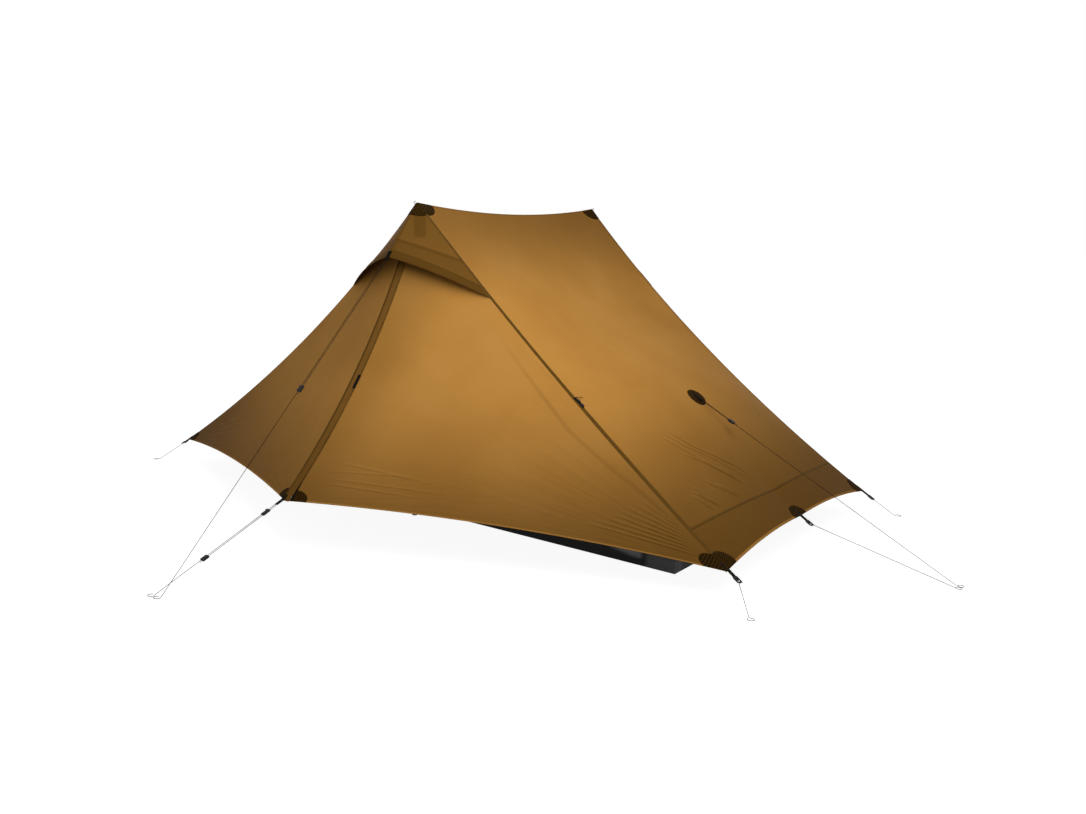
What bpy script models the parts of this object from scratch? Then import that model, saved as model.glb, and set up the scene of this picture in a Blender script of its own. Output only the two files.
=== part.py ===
"""Trekking pole tent for two: a fly drawn tight over two trekking poles, and a mesh inner on a bathtub floor.

X runs along the tent, Y across it from the near door to the far one, and Z up from the ground.
The near side and the right end are modelled once. The tent looks the same after half a turn about
Z, so the far side and the left end are half-turn copies of them.
"""

import math

import bmesh
import bpy
from mathutils import Matrix, Vector

MM = 0.001

# Fly, pitched: where its seams are pinned, and how far each one hangs in
PEAK_HEIGHT = 1250 * MM
PEAK_HALF_SPAN = 621 * MM
CORNER_HALF_LENGTH = 1412 * MM
CORNER_SPREAD = 44 * MM
CORNER_HALF_WIDTH = PEAK_HALF_SPAN + CORNER_SPREAD
CORNER_HEIGHT = 103 * MM
VESTIBULE_REACH = 1295 * MM
VESTIBULE_HEIGHT = 208 * MM
END_HEM_REACH = 1393 * MM
END_HEM_HEIGHT = 137 * MM
RIDGE_SAG = 36 * MM
SEAM_SAG = 49 * MM
SEAM_DRAW = 35 * MM
ZIP_SAG = 69 * MM
DOOR_HEM_RISE = 25 * MM
DOOR_HEM_DRAW = 16 * MM
END_HEM_RISE = 20 * MM
ROOF_PULL = 75 * MM
ROOF_PULL_REACH = 330 * MM

# Cloth and clearances
FLY_CLOTH = 1.0 * MM
MESH_CLOTH = 1.0 * MM
TUB_CLOTH = 1.5 * MM
PATCH_CLOTH = 1.2 * MM
PATCH_LIFT = 0.5 * MM
WEBBING = 2.0 * MM
GAP = 0.3 * MM
SEAM_TURNING = 1.0 * MM
WELD = 0.01 * MM

# Door, zip, storm flap and vent hood
DOOR_TOP_SHARE = 0.155
ZIP_TOP_SHARE = 0.20
FOLD_TOP_SHARE = 0.27
HOOD_SEAM_SHARE = 0.273
FLAP_END_SHARE = 0.94
FOLD_GAP = 0.9 * MM
FLAP_WIDTH = 30 * MM
FLAP_CLOTH = 1.0 * MM
ZIP_INSET = 1.5 * MM
ZIP_THICKNESS = 1.6 * MM
HOOD_OVERHANG = 158 * MM
HOOD_DROP = 205 * MM
HOOD_HEM_RISE = 22 * MM
HOOD_TAB_WIDTH = 16 * MM
HOOD_TAB_HOLD = 14 * MM
HOOD_TAB_REACH = 12 * MM

# Zip slider
SLIDER_WIDTH = 13 * MM
SLIDER_LENGTH = 18 * MM
SLIDER_DEPTH = 6 * MM
SLIDER_EDGE = 1.2 * MM
SLIDER_REST_SHARE = 0.93
PULL_REACH = 34 * MM
PULL_WIDTH = 6 * MM
PULL_THICKNESS = 2 * MM

# Patches, straps and tie-outs
PEAK_PATCH_RADIUS = 80 * MM
CORNER_PATCH_RADIUS = 80 * MM
VESTIBULE_PATCH_RADIUS = 62 * MM
END_PATCH_RADIUS = 42 * MM
TIEOUT_PATCH_RADIUS = 45 * MM
TIEOUT_SHARE = 0.65
STRAP_WIDTH = 18 * MM
STRAP_HOLD = 34 * MM
STRAP_REACH = 45 * MM
STRAP_EDGE = 0.6 * MM
VESTIBULE_STRAP_WIDTH = 25 * MM
VESTIBULE_STRAP_HOLD = 55 * MM
VESTIBULE_STRAP_REACH = 34 * MM
TIEOUT_STRAP_WIDTH = 12 * MM
TIEOUT_STRAP_HOLD = 3 * MM
TIEOUT_STRAP_REACH = 28 * MM

# Guylines: the cord, its doubled run, and where its ends are pegged
CORD = 2.0 * MM
STRAND_SPACING = 8 * MM
CORD_TAIL = 26 * MM
LOOP_RADIUS = 12 * MM
PEG_STEP = 30 * MM
NEAR_PEG = 1800 * MM
END_PEG = 1970 * MM
CORNER_PEG_LENGTH = 1533 * MM
CORNER_PEG_OUTREACH = 77 * MM
CORNER_PEG_WIDTH = CORNER_HALF_WIDTH + CORNER_PEG_OUTREACH
HOOD_LOCK_SHARE = 0.425
VESTIBULE_LOCK_SHARE = 0.62
ROOF_LOCK_SHARE = 0.125

# Line-locks
LOCK_LENGTH = 26 * MM
LOCK_WIDTH = 19 * MM
LOCK_DEPTH = 8 * MM
LOCK_EDGE = 1.5 * MM
LOCK_WAIST_RADIUS = 7 * MM
LOCK_WAIST_DEPTH = 2.2 * MM
CUT_OVERRUN = 5 * MM

# Trekking pole
POLE_INSET = 8 * MM
GRIP_HEAD_RADIUS = 17 * MM
GRIP_NECK_RADIUS = 13.5 * MM
GRIP_PALM_RADIUS = 15.5 * MM
GRIP_LENGTH = 190 * MM
GRIP_SOCKET = 40 * MM
NECK_TOP = 45 * MM
NECK_END = 118 * MM
UPPER_SHAFT_RADIUS = 9 * MM
UPPER_SHAFT_LENGTH = 470 * MM
SHAFT_WALL = 1.2 * MM
SHAFT_CLEARANCE = 0.35 * MM
SHAFT_OVERLAP = 90 * MM
BORE_SPARE = 20 * MM
POLE_TRAVEL = 250 * MM
COLLAR_RADIUS = 13 * MM
COLLAR_HEIGHT = 34 * MM
COLLAR_EDGE = 2 * MM
EAR_THICKNESS = 4 * MM
EAR_WIDTH = 8 * MM
PIN_RADIUS = 1.6 * MM
PIN_REACH = 17.6 * MM
KNUCKLE_RADIUS = 3.8 * MM
LEVER_THICKNESS = 3 * MM
LEVER_SWEEP = math.radians(165)
LEVER_START = math.radians(5)
BASKET_RADIUS = 27 * MM
BASKET_THICKNESS = 3 * MM
BASKET_HEIGHT = 62 * MM
BASKET_HUB_RADIUS = 11 * MM
BASKET_HUB_HEIGHT = 14 * MM
BASKET_HOLES = 6
BASKET_HOLE_RADIUS = 4.5 * MM
TIP_RADIUS = 5 * MM
FOOT_RADIUS = 11 * MM
FOOT_HEIGHT = 22 * MM
FOOT_EDGE = 3 * MM

# Inner tent
FLOOR_HALF_LENGTH = 1161 * MM
FLOOR_INSET = 79 * MM
FLOOR_HALF_WIDTH = PEAK_HALF_SPAN - FLOOR_INSET
TUB_HEIGHT = 150 * MM
TUB_LEAN = 10 * MM
INNER_PEAK_DROP = 115 * MM
INNER_SAG = 35 * MM
DOOR_MARGIN = 0.7 * MM
DOOR_RISE_ROOM_SHARE = 1.3
DOOR_HEAD_SHARE = 0.04

# Toggle that ties the open leaf back
TOGGLE_SHARE = 0.56
TOGGLE_RADIUS = 5 * MM
TOGGLE_LENGTH = 34 * MM
TOGGLE_SETBACK = 9 * MM
TOGGLE_PROFILE_SHARES = [(0, 0), (0.8, 0), (1, -0.06), (1, -0.36), (0.6, -0.42), (0.6, -0.58), (1, -0.64),
                         (1, -0.94), (0.8, -1), (0, -1)]

# Cells across and down each panel, and steps round each turned piece
ROOF_CELLS = (10, 20)
DOOR_CELLS = (6, 10)
GUSSET_CELLS = (10, 12)
HOOD_CELLS = (10, 5)
STRIP_CELLS = (1, 12)
CANOPY_CELLS = (16, 4)
INNER_DOOR_CELLS = (4, 8)
ROUND_STEPS = 16
SMALL_STEPS = 10
FAN_STEP = math.radians(22.5)
NEAR_SHARE = 0.01

UP = Vector((0, 0, 1))
ALONG = Vector((1, 0, 0))
ACROSS = Vector((0, 1, 0))
OUTWARD = UP - ACROSS
HALF_TURN = Matrix.Rotation(math.pi, 4, "Z")

# Colour, roughness and metallic value of each finish
FINISHES = {
    "fly_cloth": ((0.47, 0.24, 0.07), 0.55, 0),
    "ripstop": ((0.02, 0.018, 0.015), 0.6, 0),
    "webbing": ((0.012, 0.012, 0.012), 0.75, 0),
    "cord": ((0.35, 0.36, 0.36), 0.7, 0),
    "plastic": ((0.015, 0.015, 0.015), 0.4, 0),
    "foam": ((0.03, 0.03, 0.03), 0.85, 0),
    "tube": ((0.13, 0.14, 0.15), 0.3, 1),
    "mesh": ((0.05, 0.05, 0.05), 0.9, 0),
    "tub": ((0.03, 0.03, 0.032), 0.45, 0),
}

PEAK = Vector((0, -PEAK_HALF_SPAN, PEAK_HEIGHT))
FAR_PEAK = Vector((0, PEAK_HALF_SPAN, PEAK_HEIGHT))
CORNER = Vector((CORNER_HALF_LENGTH, -CORNER_HALF_WIDTH, CORNER_HEIGHT))
FAR_CORNER = Vector((CORNER_HALF_LENGTH, CORNER_HALF_WIDTH, CORNER_HEIGHT))
VESTIBULE = Vector((0, -VESTIBULE_REACH, VESTIBULE_HEIGHT))
END_HEM = Vector((END_HEM_REACH, 0, END_HEM_HEIGHT))
HOOD_APEX = PEAK + Vector((0, -HOOD_OVERHANG, -HOOD_DROP))
NEAR_STAKE = Vector((0, -NEAR_PEG, CORD / 2))
END_STAKE = Vector((END_PEG, 0, CORD / 2))
CORNER_STAKE = Vector((CORNER_PEG_LENGTH, -CORNER_PEG_WIDTH, CORD / 2))
POLE_PLACE = Vector((0, POLE_INSET - PEAK_HALF_SPAN, 0))


def arch(share):
    """Parabola of height one over a span of one."""
    return 4 * share * (1 - share)


def mirrored(point):
    """The same point on the other side of the door's zip."""
    return Vector((-point.x, point.y, point.z))


def across_tent(point):
    """The same point on the other side of the tent's long middle line."""
    return Vector((point.x, -point.y, point.z))


def below_chord(start, end):
    """Direction square to a chord, in its upright plane, on its lower side."""
    chord = (end - start).normalized()
    return (chord * UP.dot(chord) - UP).normalized()


def seam(share):
    """Seam from the near peak to the right corner, hanging down and drawn in towards the tent."""
    inward = below_chord(PEAK, CORNER) * SEAM_SAG + ACROSS * SEAM_DRAW
    return PEAK.lerp(CORNER, share) + inward * arch(share)


ZIP_CHORD = VESTIBULE - PEAK
ZIP_RADIUS = ZIP_CHORD.length_squared / (8 * ZIP_SAG) + ZIP_SAG / 2
ZIP_HALF_ANGLE = math.asin(ZIP_CHORD.length / 2 / ZIP_RADIUS)
ZIP_INWARD = below_chord(PEAK, VESTIBULE)
ZIP_CENTRE = PEAK.lerp(VESTIBULE, 0.5) - ZIP_INWARD * (ZIP_RADIUS - ZIP_SAG)


def zip_direction(share):
    """Unit vector from the centre of the zip's arc to a place along it."""
    angle = ZIP_HALF_ANGLE * (2 * share - 1)
    return ZIP_INWARD * math.cos(angle) + ZIP_CHORD.normalized() * math.sin(angle)


def zip_line(share):
    """Zip from the near peak to the staked point, a true arc so that its slider follows it."""
    return ZIP_CENTRE + zip_direction(share) * ZIP_RADIUS


def ridge(share):
    """Ridge from the near peak to the far one."""
    return PEAK.lerp(FAR_PEAK, share) - UP * RIDGE_SAG * arch(share)


def end_hem(share):
    """Hem of the right end: two shallow arches that meet where the middle guyline pulls."""
    half = 1 - abs(2 * share - 1)
    corner = CORNER if share < 0.5 else FAR_CORNER
    return corner.lerp(END_HEM, half) + UP * END_HEM_RISE * arch(half)


def roof_point(across, down):
    """Right end of the roof, from its near seam to its far one and from the ridge to the hem."""
    near = seam(down)
    point = near.lerp(across_tent(near), across)
    point += (ridge(across) - PEAK.lerp(FAR_PEAK, across)) * (1 - down) ** 2
    point += (end_hem(across) - CORNER.lerp(FAR_CORNER, across)) * down ** 3
    span = (down - TIEOUT_SHARE) * (CORNER - PEAK).length / ROOF_PULL_REACH
    point -= below_chord(PEAK, CORNER) * ROOF_PULL * arch(across) * math.exp(-span * span)
    return point + ALONG * GAP / 2 * (1 - down) + ACROSS * GAP / 2 * (1 - 2 * across)


def door_point(across, down, zip_edge):
    """Near door, from its zip edge to the right seam and from the peak to the hem."""
    edge = zip_line(down) + ALONG * zip_edge
    side = seam(down)
    side += (edge - side).normalized() * SEAM_TURNING
    lift = UP * DOOR_HEM_RISE + ACROSS * DOOR_HEM_DRAW
    return edge.lerp(side, across) + lift * arch(across) * down ** 3


def leaf_point(across, down):
    """Right half of the near door below its fold line, which runs from the zip's top to the corner."""
    share = FOLD_TOP_SHARE + (1 - FOLD_TOP_SHARE) * down
    return door_point(across * down, share, FLAP_WIDTH + GAP)


def gusset_point(across, down):
    """Right half of the near door above that fold line, sewn to the seam and under the hood."""
    fold = FOLD_TOP_SHARE + (1 - FOLD_TOP_SHARE) * across - FOLD_GAP / (CORNER - PEAK).length
    share = DOOR_TOP_SHARE + (fold - DOOR_TOP_SHARE) * down
    return door_point(across, share, FLAP_WIDTH + GAP)


def staked_point(across, down):
    """Left half of the near door, which stays pegged."""
    return mirrored(door_point(across, DOOR_TOP_SHARE + (1 - DOOR_TOP_SHARE) * down, 0))


def hood_point(across, down):
    """Vent hood, from its left side to its right one and from the peak to the stiff hem."""
    spread = abs(2 * across - 1)
    point = PEAK.lerp(HOOD_APEX, down).lerp(seam(HOOD_SEAM_SHARE * down), spread)
    point += OUTWARD.normalized() * (HOOD_HEM_RISE * arch(spread) * down ** 2 + 2 * GAP * down)
    return point if across > 0.5 else mirrored(point)


def flap_point(across, down):
    """Storm flap, a straight strip across the outer side of the zip's arc."""
    share = DOOR_TOP_SHARE + (FLAP_END_SHARE - DOOR_TOP_SHARE) * down
    return zip_line(share) + ALONG * (GAP + (FLAP_WIDTH - GAP) * across)


def zip_point(across, down):
    """Zip, a narrower strip inside the flap and down to the hem."""
    share = ZIP_TOP_SHARE + (1 - ZIP_TOP_SHARE) * down
    reach = ZIP_INSET + (FLAP_WIDTH - 2 * ZIP_INSET) * across
    return ZIP_CENTRE + zip_direction(share) * (ZIP_RADIUS + GAP) + ALONG * reach


INNER_TOP = PEAK_HEIGHT - INNER_PEAK_DROP
INNER_FOOT = TUB_HEIGHT + GAP
INNER_FOOT_REACH = FLOOR_HALF_LENGTH - TUB_LEAN
INNER_FOOT_WIDTH = FLOOR_HALF_WIDTH - TUB_LEAN
INNER_TOP_WIDTH = PEAK_HALF_SPAN - POLE_INSET - GRIP_NECK_RADIUS - GAP
# The mesh door leans out, so its head rises a little on its way in over its foot
DOOR_RISE = (INNER_TOP_WIDTH - INNER_FOOT_WIDTH) ** 2 / (2 * (INNER_TOP - INNER_FOOT))
DOOR_HEAD_MARGIN = DOOR_MARGIN + DOOR_RISE * DOOR_RISE_ROOM_SHARE


def inner_side(share):
    """Right side of the mesh canopy's near edge, from its ridge to the tub."""
    top = Vector((0, -INNER_TOP_WIDTH, INNER_TOP))
    foot = Vector((INNER_FOOT_REACH, -INNER_FOOT_WIDTH, INNER_FOOT))
    point = top.lerp(foot, share) + below_chord(top, foot) * INNER_SAG * arch(share)
    height = (point.z - INNER_FOOT) / (INNER_TOP - INNER_FOOT)
    point.y = -(INNER_FOOT_WIDTH + (INNER_TOP_WIDTH - INNER_FOOT_WIDTH) * height)
    return point


def canopy_point(along, width):
    """Mesh canopy, from its left foot over the ridge to its right foot, and across the tent."""
    edge = inner_side(abs(2 * along - 1))
    edge = edge if along > 0.5 else mirrored(edge)
    return edge.lerp(across_tent(edge), width)


def inner_door_point(across, down):
    """Near mesh door, which fills the canopy's near side down to the tub."""
    edge = inner_side(DOOR_HEAD_SHARE + (1 - DOOR_HEAD_SHARE) * down)
    point = edge - ALONG * DOOR_MARGIN - UP * DOOR_HEAD_MARGIN * (1 - down)
    return mirrored(point).lerp(point, across)


def on_cells(point, cells):
    """A surface as its coarse panel has it, straight across each cell."""
    columns, rows = cells

    def faceted(across, down):
        column = min(int(across * columns), columns - 1)
        row = min(int(down * rows), rows - 1)
        left, right = column / columns, (column + 1) / columns
        top, low = row / rows, (row + 1) / rows
        side = across * columns - column
        upper = point(left, top).lerp(point(right, top), side)
        lower = point(left, low).lerp(point(right, low), side)
        return upper.lerp(lower, down * rows - row)

    return faceted


ROOF = on_cells(roof_point, ROOF_CELLS)
STAKED = on_cells(staked_point, DOOR_CELLS)
HOOD = on_cells(hood_point, HOOD_CELLS)


def add_material(name, finish):
    """Principled material of a piece, in one of the finishes."""
    colour, roughness, metallic = FINISHES[finish]
    made = bpy.data.materials.new(name)
    made.use_nodes = True
    shader = made.node_tree.nodes["Principled BSDF"]
    shader.inputs["Base Color"].default_value = (*colour, 1)
    shader.inputs["Roughness"].default_value = roughness
    shader.inputs["Metallic"].default_value = metallic
    made.diffuse_color = (*colour, 1)
    return made


def add_collection(name):
    """New collection in the scene."""
    made = bpy.data.collections.new(name)
    bpy.context.scene.collection.children.link(made)
    return made


def add_piece(name, data, finish, group):
    """Object of one sub-part, with its own material."""
    made = bpy.data.objects.new(name, data)
    data.materials.append(add_material(name, finish))
    group.objects.link(made)
    return made


def shaded_mesh(name, bm):
    """Mesh of a bmesh, smooth but for its sharp edges."""
    mesh = bpy.data.meshes.new(name)
    bm.to_mesh(mesh)
    bm.free()
    mesh.shade_smooth()
    mesh.set_sharp_from_angle(angle=math.radians(35))
    return mesh


def face_towards(bm, direction):
    """Turn an open sheet over if its faces look away from a direction."""
    bm.normal_update()
    total = Vector((0, 0, 0))
    for face in bm.faces:
        total += face.normal * face.calc_area()
    if total.dot(direction) < 0:
        bmesh.ops.reverse_faces(bm, faces=bm.faces)
        bm.normal_update()


def thicken(piece, thickness, outward):
    """Give an open sheet its thickness, on its outer or its inner side."""
    solid = piece.modifiers.new("thickness", "SOLIDIFY")
    solid.thickness = thickness
    solid.offset = 1 if outward else -1
    solid.use_even_offset = True


def add_panel(name, finish, point, cells, thickness, direction, outward, group):
    """Cloth panel: a unit grid bent over its surface, and given a thickness."""
    bm = bmesh.new()
    bmesh.ops.create_grid(bm, x_segments=cells[0], y_segments=cells[1], size=0.5)
    for vertex in bm.verts:
        vertex.co = point(vertex.co.x + 0.5, vertex.co.y + 0.5)
    bmesh.ops.remove_doubles(bm, verts=bm.verts, dist=WELD)
    face_towards(bm, direction)
    piece = add_piece(name, shaded_mesh(name, bm), finish, group)
    thicken(piece, thickness, outward)
    return piece


def span_length(surface, start, end):
    """Length on a surface for each unit of its share between two near places."""
    share = abs(end[0] - start[0]) + abs(end[1] - start[1])
    return (surface(*end) - surface(*start)).length / share


def fan_ring(surface, hub, radius, start, end, flipped):
    """Points of a round patch's edge on a surface, turning about a hub from one angle to another."""
    across, down = hub
    width = span_length(surface, (max(across - NEAR_SHARE, 0), down), (min(across + NEAR_SHARE, 1), down))
    height = span_length(surface, (across, max(down - NEAR_SHARE, 0)), (across, min(down + NEAR_SHARE, 1)))
    count = round((end - start) / FAN_STEP)
    ring = []
    for i in range(count + 1):
        angle = start + (end - start) * i / count
        point = surface(across + radius * math.cos(angle) / width, down + radius * math.sin(angle) / height)
        ring.append(mirrored(point) if flipped else point)
    return ring


def add_patch(name, finish, hub, ring, closed, lift, direction, group):
    """Reinforcing patch: a fan from a hub to a ring of points, lifted clear of the panels under it."""
    bm = bmesh.new()
    middle = bm.verts.new(hub)
    rim = [bm.verts.new(point) for point in ring]
    for i in range(len(rim) if closed else len(rim) - 1):
        bm.faces.new((middle, rim[i], rim[(i + 1) % len(rim)]))
    face_towards(bm, direction)
    shifts = [(vertex, vertex.normal * lift * vertex.calc_shell_factor()) for vertex in bm.verts]
    for vertex, shift in shifts:
        vertex.co += shift
    patch = add_piece(name, shaded_mesh(name, bm), finish, group)
    thicken(patch, PATCH_CLOTH, True)
    return patch


def frame_at(origin, forward, upward):
    """Frame with X along forward, and Z as near upward as it can be."""
    x = forward.normalized()
    y = upward.cross(x).normalized()
    return Matrix.Translation(origin) @ Matrix((x, y, x.cross(y))).transposed().to_4x4()


def block_bmesh(matrix, size, middle, edge):
    """Box with bevelled edges, of a size and round a middle point in a frame."""
    bm = bmesh.new()
    bmesh.ops.create_cube(bm, size=1)
    bmesh.ops.scale(bm, vec=size, verts=bm.verts)
    bmesh.ops.bevel(bm, geom=bm.edges[:], offset=edge, segments=1, affect="EDGES")
    bmesh.ops.translate(bm, vec=middle, verts=bm.verts)
    bmesh.ops.transform(bm, matrix=matrix, verts=bm.verts)
    return bm


def rod_bmesh(matrix, radius, length, steps):
    """Cylinder along a frame's Z axis, centred on its origin."""
    bm = bmesh.new()
    bmesh.ops.create_cone(bm, cap_ends=True, segments=steps, radius1=radius, radius2=radius, depth=length)
    bmesh.ops.transform(bm, matrix=matrix, verts=bm.verts)
    return bm


def combine(piece, bm, operation, cutters):
    """Boolean of a piece with a helper solid, both given in world space."""
    made = bpy.data.objects.new(piece.name + "_" + operation.lower(), shaded_mesh(piece.name, bm))
    made.display_type = "WIRE"
    made.hide_render = True
    cutters.objects.link(made)
    step = piece.modifiers.new(operation.lower(), "BOOLEAN")
    step.operation = operation
    step.solver = "EXACT"
    step.object = made


def set_origin(piece, origin):
    """Put an object's origin on its joint and leave its shape where it is."""
    piece.data.transform(Matrix.Translation(-origin))
    piece.location = origin


def add_turned(name, finish, profile, steps, group):
    """Solid of revolution about Z, from its profile of radius and height, top to bottom."""
    mesh = bpy.data.meshes.new(name)
    points = [(radius, 0, height) for radius, height in profile]
    mesh.from_pydata(points, [(i, i + 1) for i in range(len(points) - 1)], [])
    piece = add_piece(name, mesh, finish, group)
    screw = piece.modifiers.new("turn", "SCREW")
    screw.steps = steps
    screw.render_steps = steps
    screw.use_merge_vertices = True
    screw.merge_threshold = WELD
    screw.use_smooth_shade = True
    return piece


def smooth_route(points, steps):
    """Points along a smooth curve through a route's points, a number of steps for each stretch."""
    ends = [2 * points[0] - points[1]] + points + [2 * points[-1] - points[-2]]
    route = []
    for i, count in enumerate(steps):
        before, start, end, after = ends[i:i + 4]
        reach = (end - start).length
        leave = (end - before).normalized() * reach
        arrive = (after - start).normalized() * reach
        for k in range(count):
            t = k / count
            point = (2 * t ** 3 - 3 * t ** 2 + 1) * start + (3 * t ** 2 - 2 * t ** 3) * end
            route.append(point + (t ** 3 - 2 * t ** 2 + t) * leave + (t ** 3 - t ** 2) * arrive)
    return route + [points[-1]]


# How far along the line and to its side each point of a peg loop lies, as shares of its radius
PEG_LOOP_SHARES = [(0.6, 0.45), (1.35, 0.95), (2.15, 0.55), (2.15, -0.55), (1.35, -0.95), (0.6, -0.45)]


def peg_loop(end, forward):
    """Loop lying flat at the end of a line, for a peg to hold."""
    flat = Vector((forward.x, forward.y, 0)).normalized()
    aside = UP.cross(flat)
    return [end + (flat * along + aside * off) * LOOP_RADIUS for along, off in PEG_LOOP_SHARES]


def add_cord(name, route, steps, group):
    """Guyline, a tube along its route."""
    data = bpy.data.curves.new(name, "CURVE")
    data.dimensions = "3D"
    data.bevel_depth = CORD / 2
    data.bevel_resolution = 2
    data.use_fill_caps = True
    places = smooth_route(route, steps)
    line = data.splines.new("POLY")
    line.points.add(len(places) - 1)
    for place, point in zip(line.points, places):
        place.co = (*point, 1)
    return add_piece(name, data, "cord", group)


def add_doubled_line(name, top, ground, lock_share, aside, group):
    """Guyline that starts at its lock, runs up round the loop, and comes back down to its peg."""
    forward = (ground - top).normalized()
    half = aside * STRAND_SPACING / 2
    tail = top.lerp(ground, lock_share) + forward * CORD_TAIL
    turn = top + forward * STRAND_SPACING / 2
    loop = peg_loop(ground - half, forward)
    route = [tail + half, turn + half, top, turn - half, tail - half, ground - half] + loop
    add_cord(name, route, [1, 3, 3, 1, 1, 1] + [2] * (len(loop) - 1), group)


def add_single_line(name, top, ground, group):
    """Guyline straight from its strap to its peg."""
    loop = peg_loop(ground, ground - top)
    add_cord(name, [top, ground] + loop, [1, 1] + [2] * (len(loop) - 1), group)


def add_line_lock(name, top, ground, lock_share, aside, group, cutters):
    """Line-lock: a waisted plate with a hole for each strand, free to slide along them."""
    forward = (ground - top).normalized()
    frame = frame_at(top.lerp(ground, lock_share), forward, aside.cross(forward))
    plate = block_bmesh(frame, (LOCK_LENGTH, LOCK_WIDTH, LOCK_DEPTH), (0, 0, 0), LOCK_EDGE)
    lock = add_piece(name, shaded_mesh(name, plate), "plastic", group)
    lengthways = Matrix.Rotation(math.pi / 2, 4, "Y")
    waist_reach = LOCK_WIDTH / 2 + LOCK_WAIST_RADIUS - LOCK_WAIST_DEPTH
    for side in (-1, 1):
        strand = frame @ Matrix.Translation((0, side * STRAND_SPACING / 2, 0)) @ lengthways
        hole = rod_bmesh(strand, CORD / 2 + GAP, LOCK_LENGTH + 2 * CUT_OVERRUN, SMALL_STEPS)
        combine(lock, hole, "DIFFERENCE", cutters)
        place = frame @ Matrix.Translation((0, side * waist_reach, 0))
        waist = rod_bmesh(place, LOCK_WAIST_RADIUS, LOCK_DEPTH + 2 * CUT_OVERRUN, ROUND_STEPS)
        combine(lock, waist, "DIFFERENCE", cutters)
    set_origin(lock, frame.to_translation())


def add_strap(patch, frame, hold, reach, width, cutters):
    """Webbing sewn along a patch, from a hold behind a frame's origin to a reach ahead of it."""
    middle = Vector(((reach - hold) / 2, 0, (PATCH_CLOTH + WEBBING) / 2))
    combine(patch, block_bmesh(frame, (reach + hold, width, WEBBING), middle, STRAP_EDGE), "UNION", cutters)


def strap_end(frame, reach, clearance):
    """Middle of a strap's free end, a clearance past it."""
    return frame @ Vector((reach + clearance, 0, (PATCH_CLOTH + WEBBING) / 2))


def add_roof(group):
    """Right end of the roof, which hangs between its ridge, two seams and hem."""
    add_panel("right_roof_panel", "fly_cloth", roof_point, ROOF_CELLS, FLY_CLOTH, UP, True, group)


def add_doors(group):
    """Pegged half of the near door, its opening leaf, and the gusset that the leaf folds back on."""
    add_panel("near_staked_door", "fly_cloth", staked_point, DOOR_CELLS, FLY_CLOTH, OUTWARD, False, group)
    add_panel("near_door_gusset", "fly_cloth", gusset_point, GUSSET_CELLS, FLY_CLOTH, OUTWARD, False, group)
    leaf = add_panel("near_door_leaf", "fly_cloth", leaf_point, DOOR_CELLS, FLY_CLOTH, OUTWARD, False, group)
    set_origin(leaf, leaf_point(0, 0))


def add_hood(group, cutters):
    """Stiff-hemmed vent hood and its guyline."""
    hood = add_panel("near_vent_hood", "fly_cloth", hood_point, HOOD_CELLS, FLY_CLOTH, OUTWARD, True, group)
    ground = NEAR_STAKE + ALONG * PEG_STEP / 2
    tab = frame_at(HOOD_APEX, HOOD_APEX - PEAK, OUTWARD)
    add_strap(hood, tab, HOOD_TAB_HOLD, HOOD_TAB_REACH, HOOD_TAB_WIDTH, cutters)
    top = strap_end(tab, HOOD_TAB_REACH, CORD / 2 + GAP)
    add_doubled_line("near_hood_guyline", top, ground, HOOD_LOCK_SHARE, ALONG, group)
    add_line_lock("near_hood_line_lock", top, ground, HOOD_LOCK_SHARE, ALONG, group, cutters)


def add_zip(group, cutters):
    """Storm flap, the zip under it, and the slider that runs along the zip's inner side."""
    add_panel("near_storm_flap", "fly_cloth", flap_point, STRIP_CELLS, FLAP_CLOTH, OUTWARD, True, group)
    add_panel("near_zip", "webbing", zip_point, STRIP_CELLS, ZIP_THICKNESS, OUTWARD, False, group)
    radial = zip_direction(SLIDER_REST_SHARE)
    radius = ZIP_RADIUS + 2 * GAP + ZIP_THICKNESS + SLIDER_DEPTH / 2
    place = ZIP_CENTRE + radial * radius + ALONG * FLAP_WIDTH / 2
    frame = frame_at(place, radial.cross(ALONG), -radial)
    body = block_bmesh(frame, (SLIDER_LENGTH, SLIDER_WIDTH, SLIDER_DEPTH), (0, 0, 0), SLIDER_EDGE)
    slider = add_piece("near_zip_slider", shaded_mesh("near_zip_slider", body), "plastic", group)
    pull_middle = (PULL_REACH / 2, 0, -SLIDER_DEPTH / 2)
    pull = block_bmesh(frame, (PULL_REACH, PULL_WIDTH, PULL_THICKNESS), pull_middle, STRAP_EDGE)
    combine(slider, pull, "UNION", cutters)
    set_origin(slider, ZIP_CENTRE + ALONG * FLAP_WIDTH / 2)


def add_peak_patch(group):
    """Ripstop cap over the near peak, spread over the roof panels and the top of the hood."""
    roof = fan_ring(ROOF, (0, 0), PEAK_PATCH_RADIUS, 0, math.pi / 2, False)
    roof[0] = ridge(PEAK_PATCH_RADIUS / (FAR_PEAK - PEAK).length)
    down = PEAK_PATCH_RADIUS / (CORNER - PEAK).length / HOOD_SEAM_SHARE
    steps = HOOD_CELLS[0]
    hood = [HOOD(1 - i / steps, down) for i in range(steps + 1)]
    ring = roof[:-1] + hood + [mirrored(point) for point in reversed(roof[1:-1])]
    add_patch("near_peak_patch", "ripstop", PEAK, ring, True, FLY_CLOTH + PATCH_LIFT, UP, group)


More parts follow.
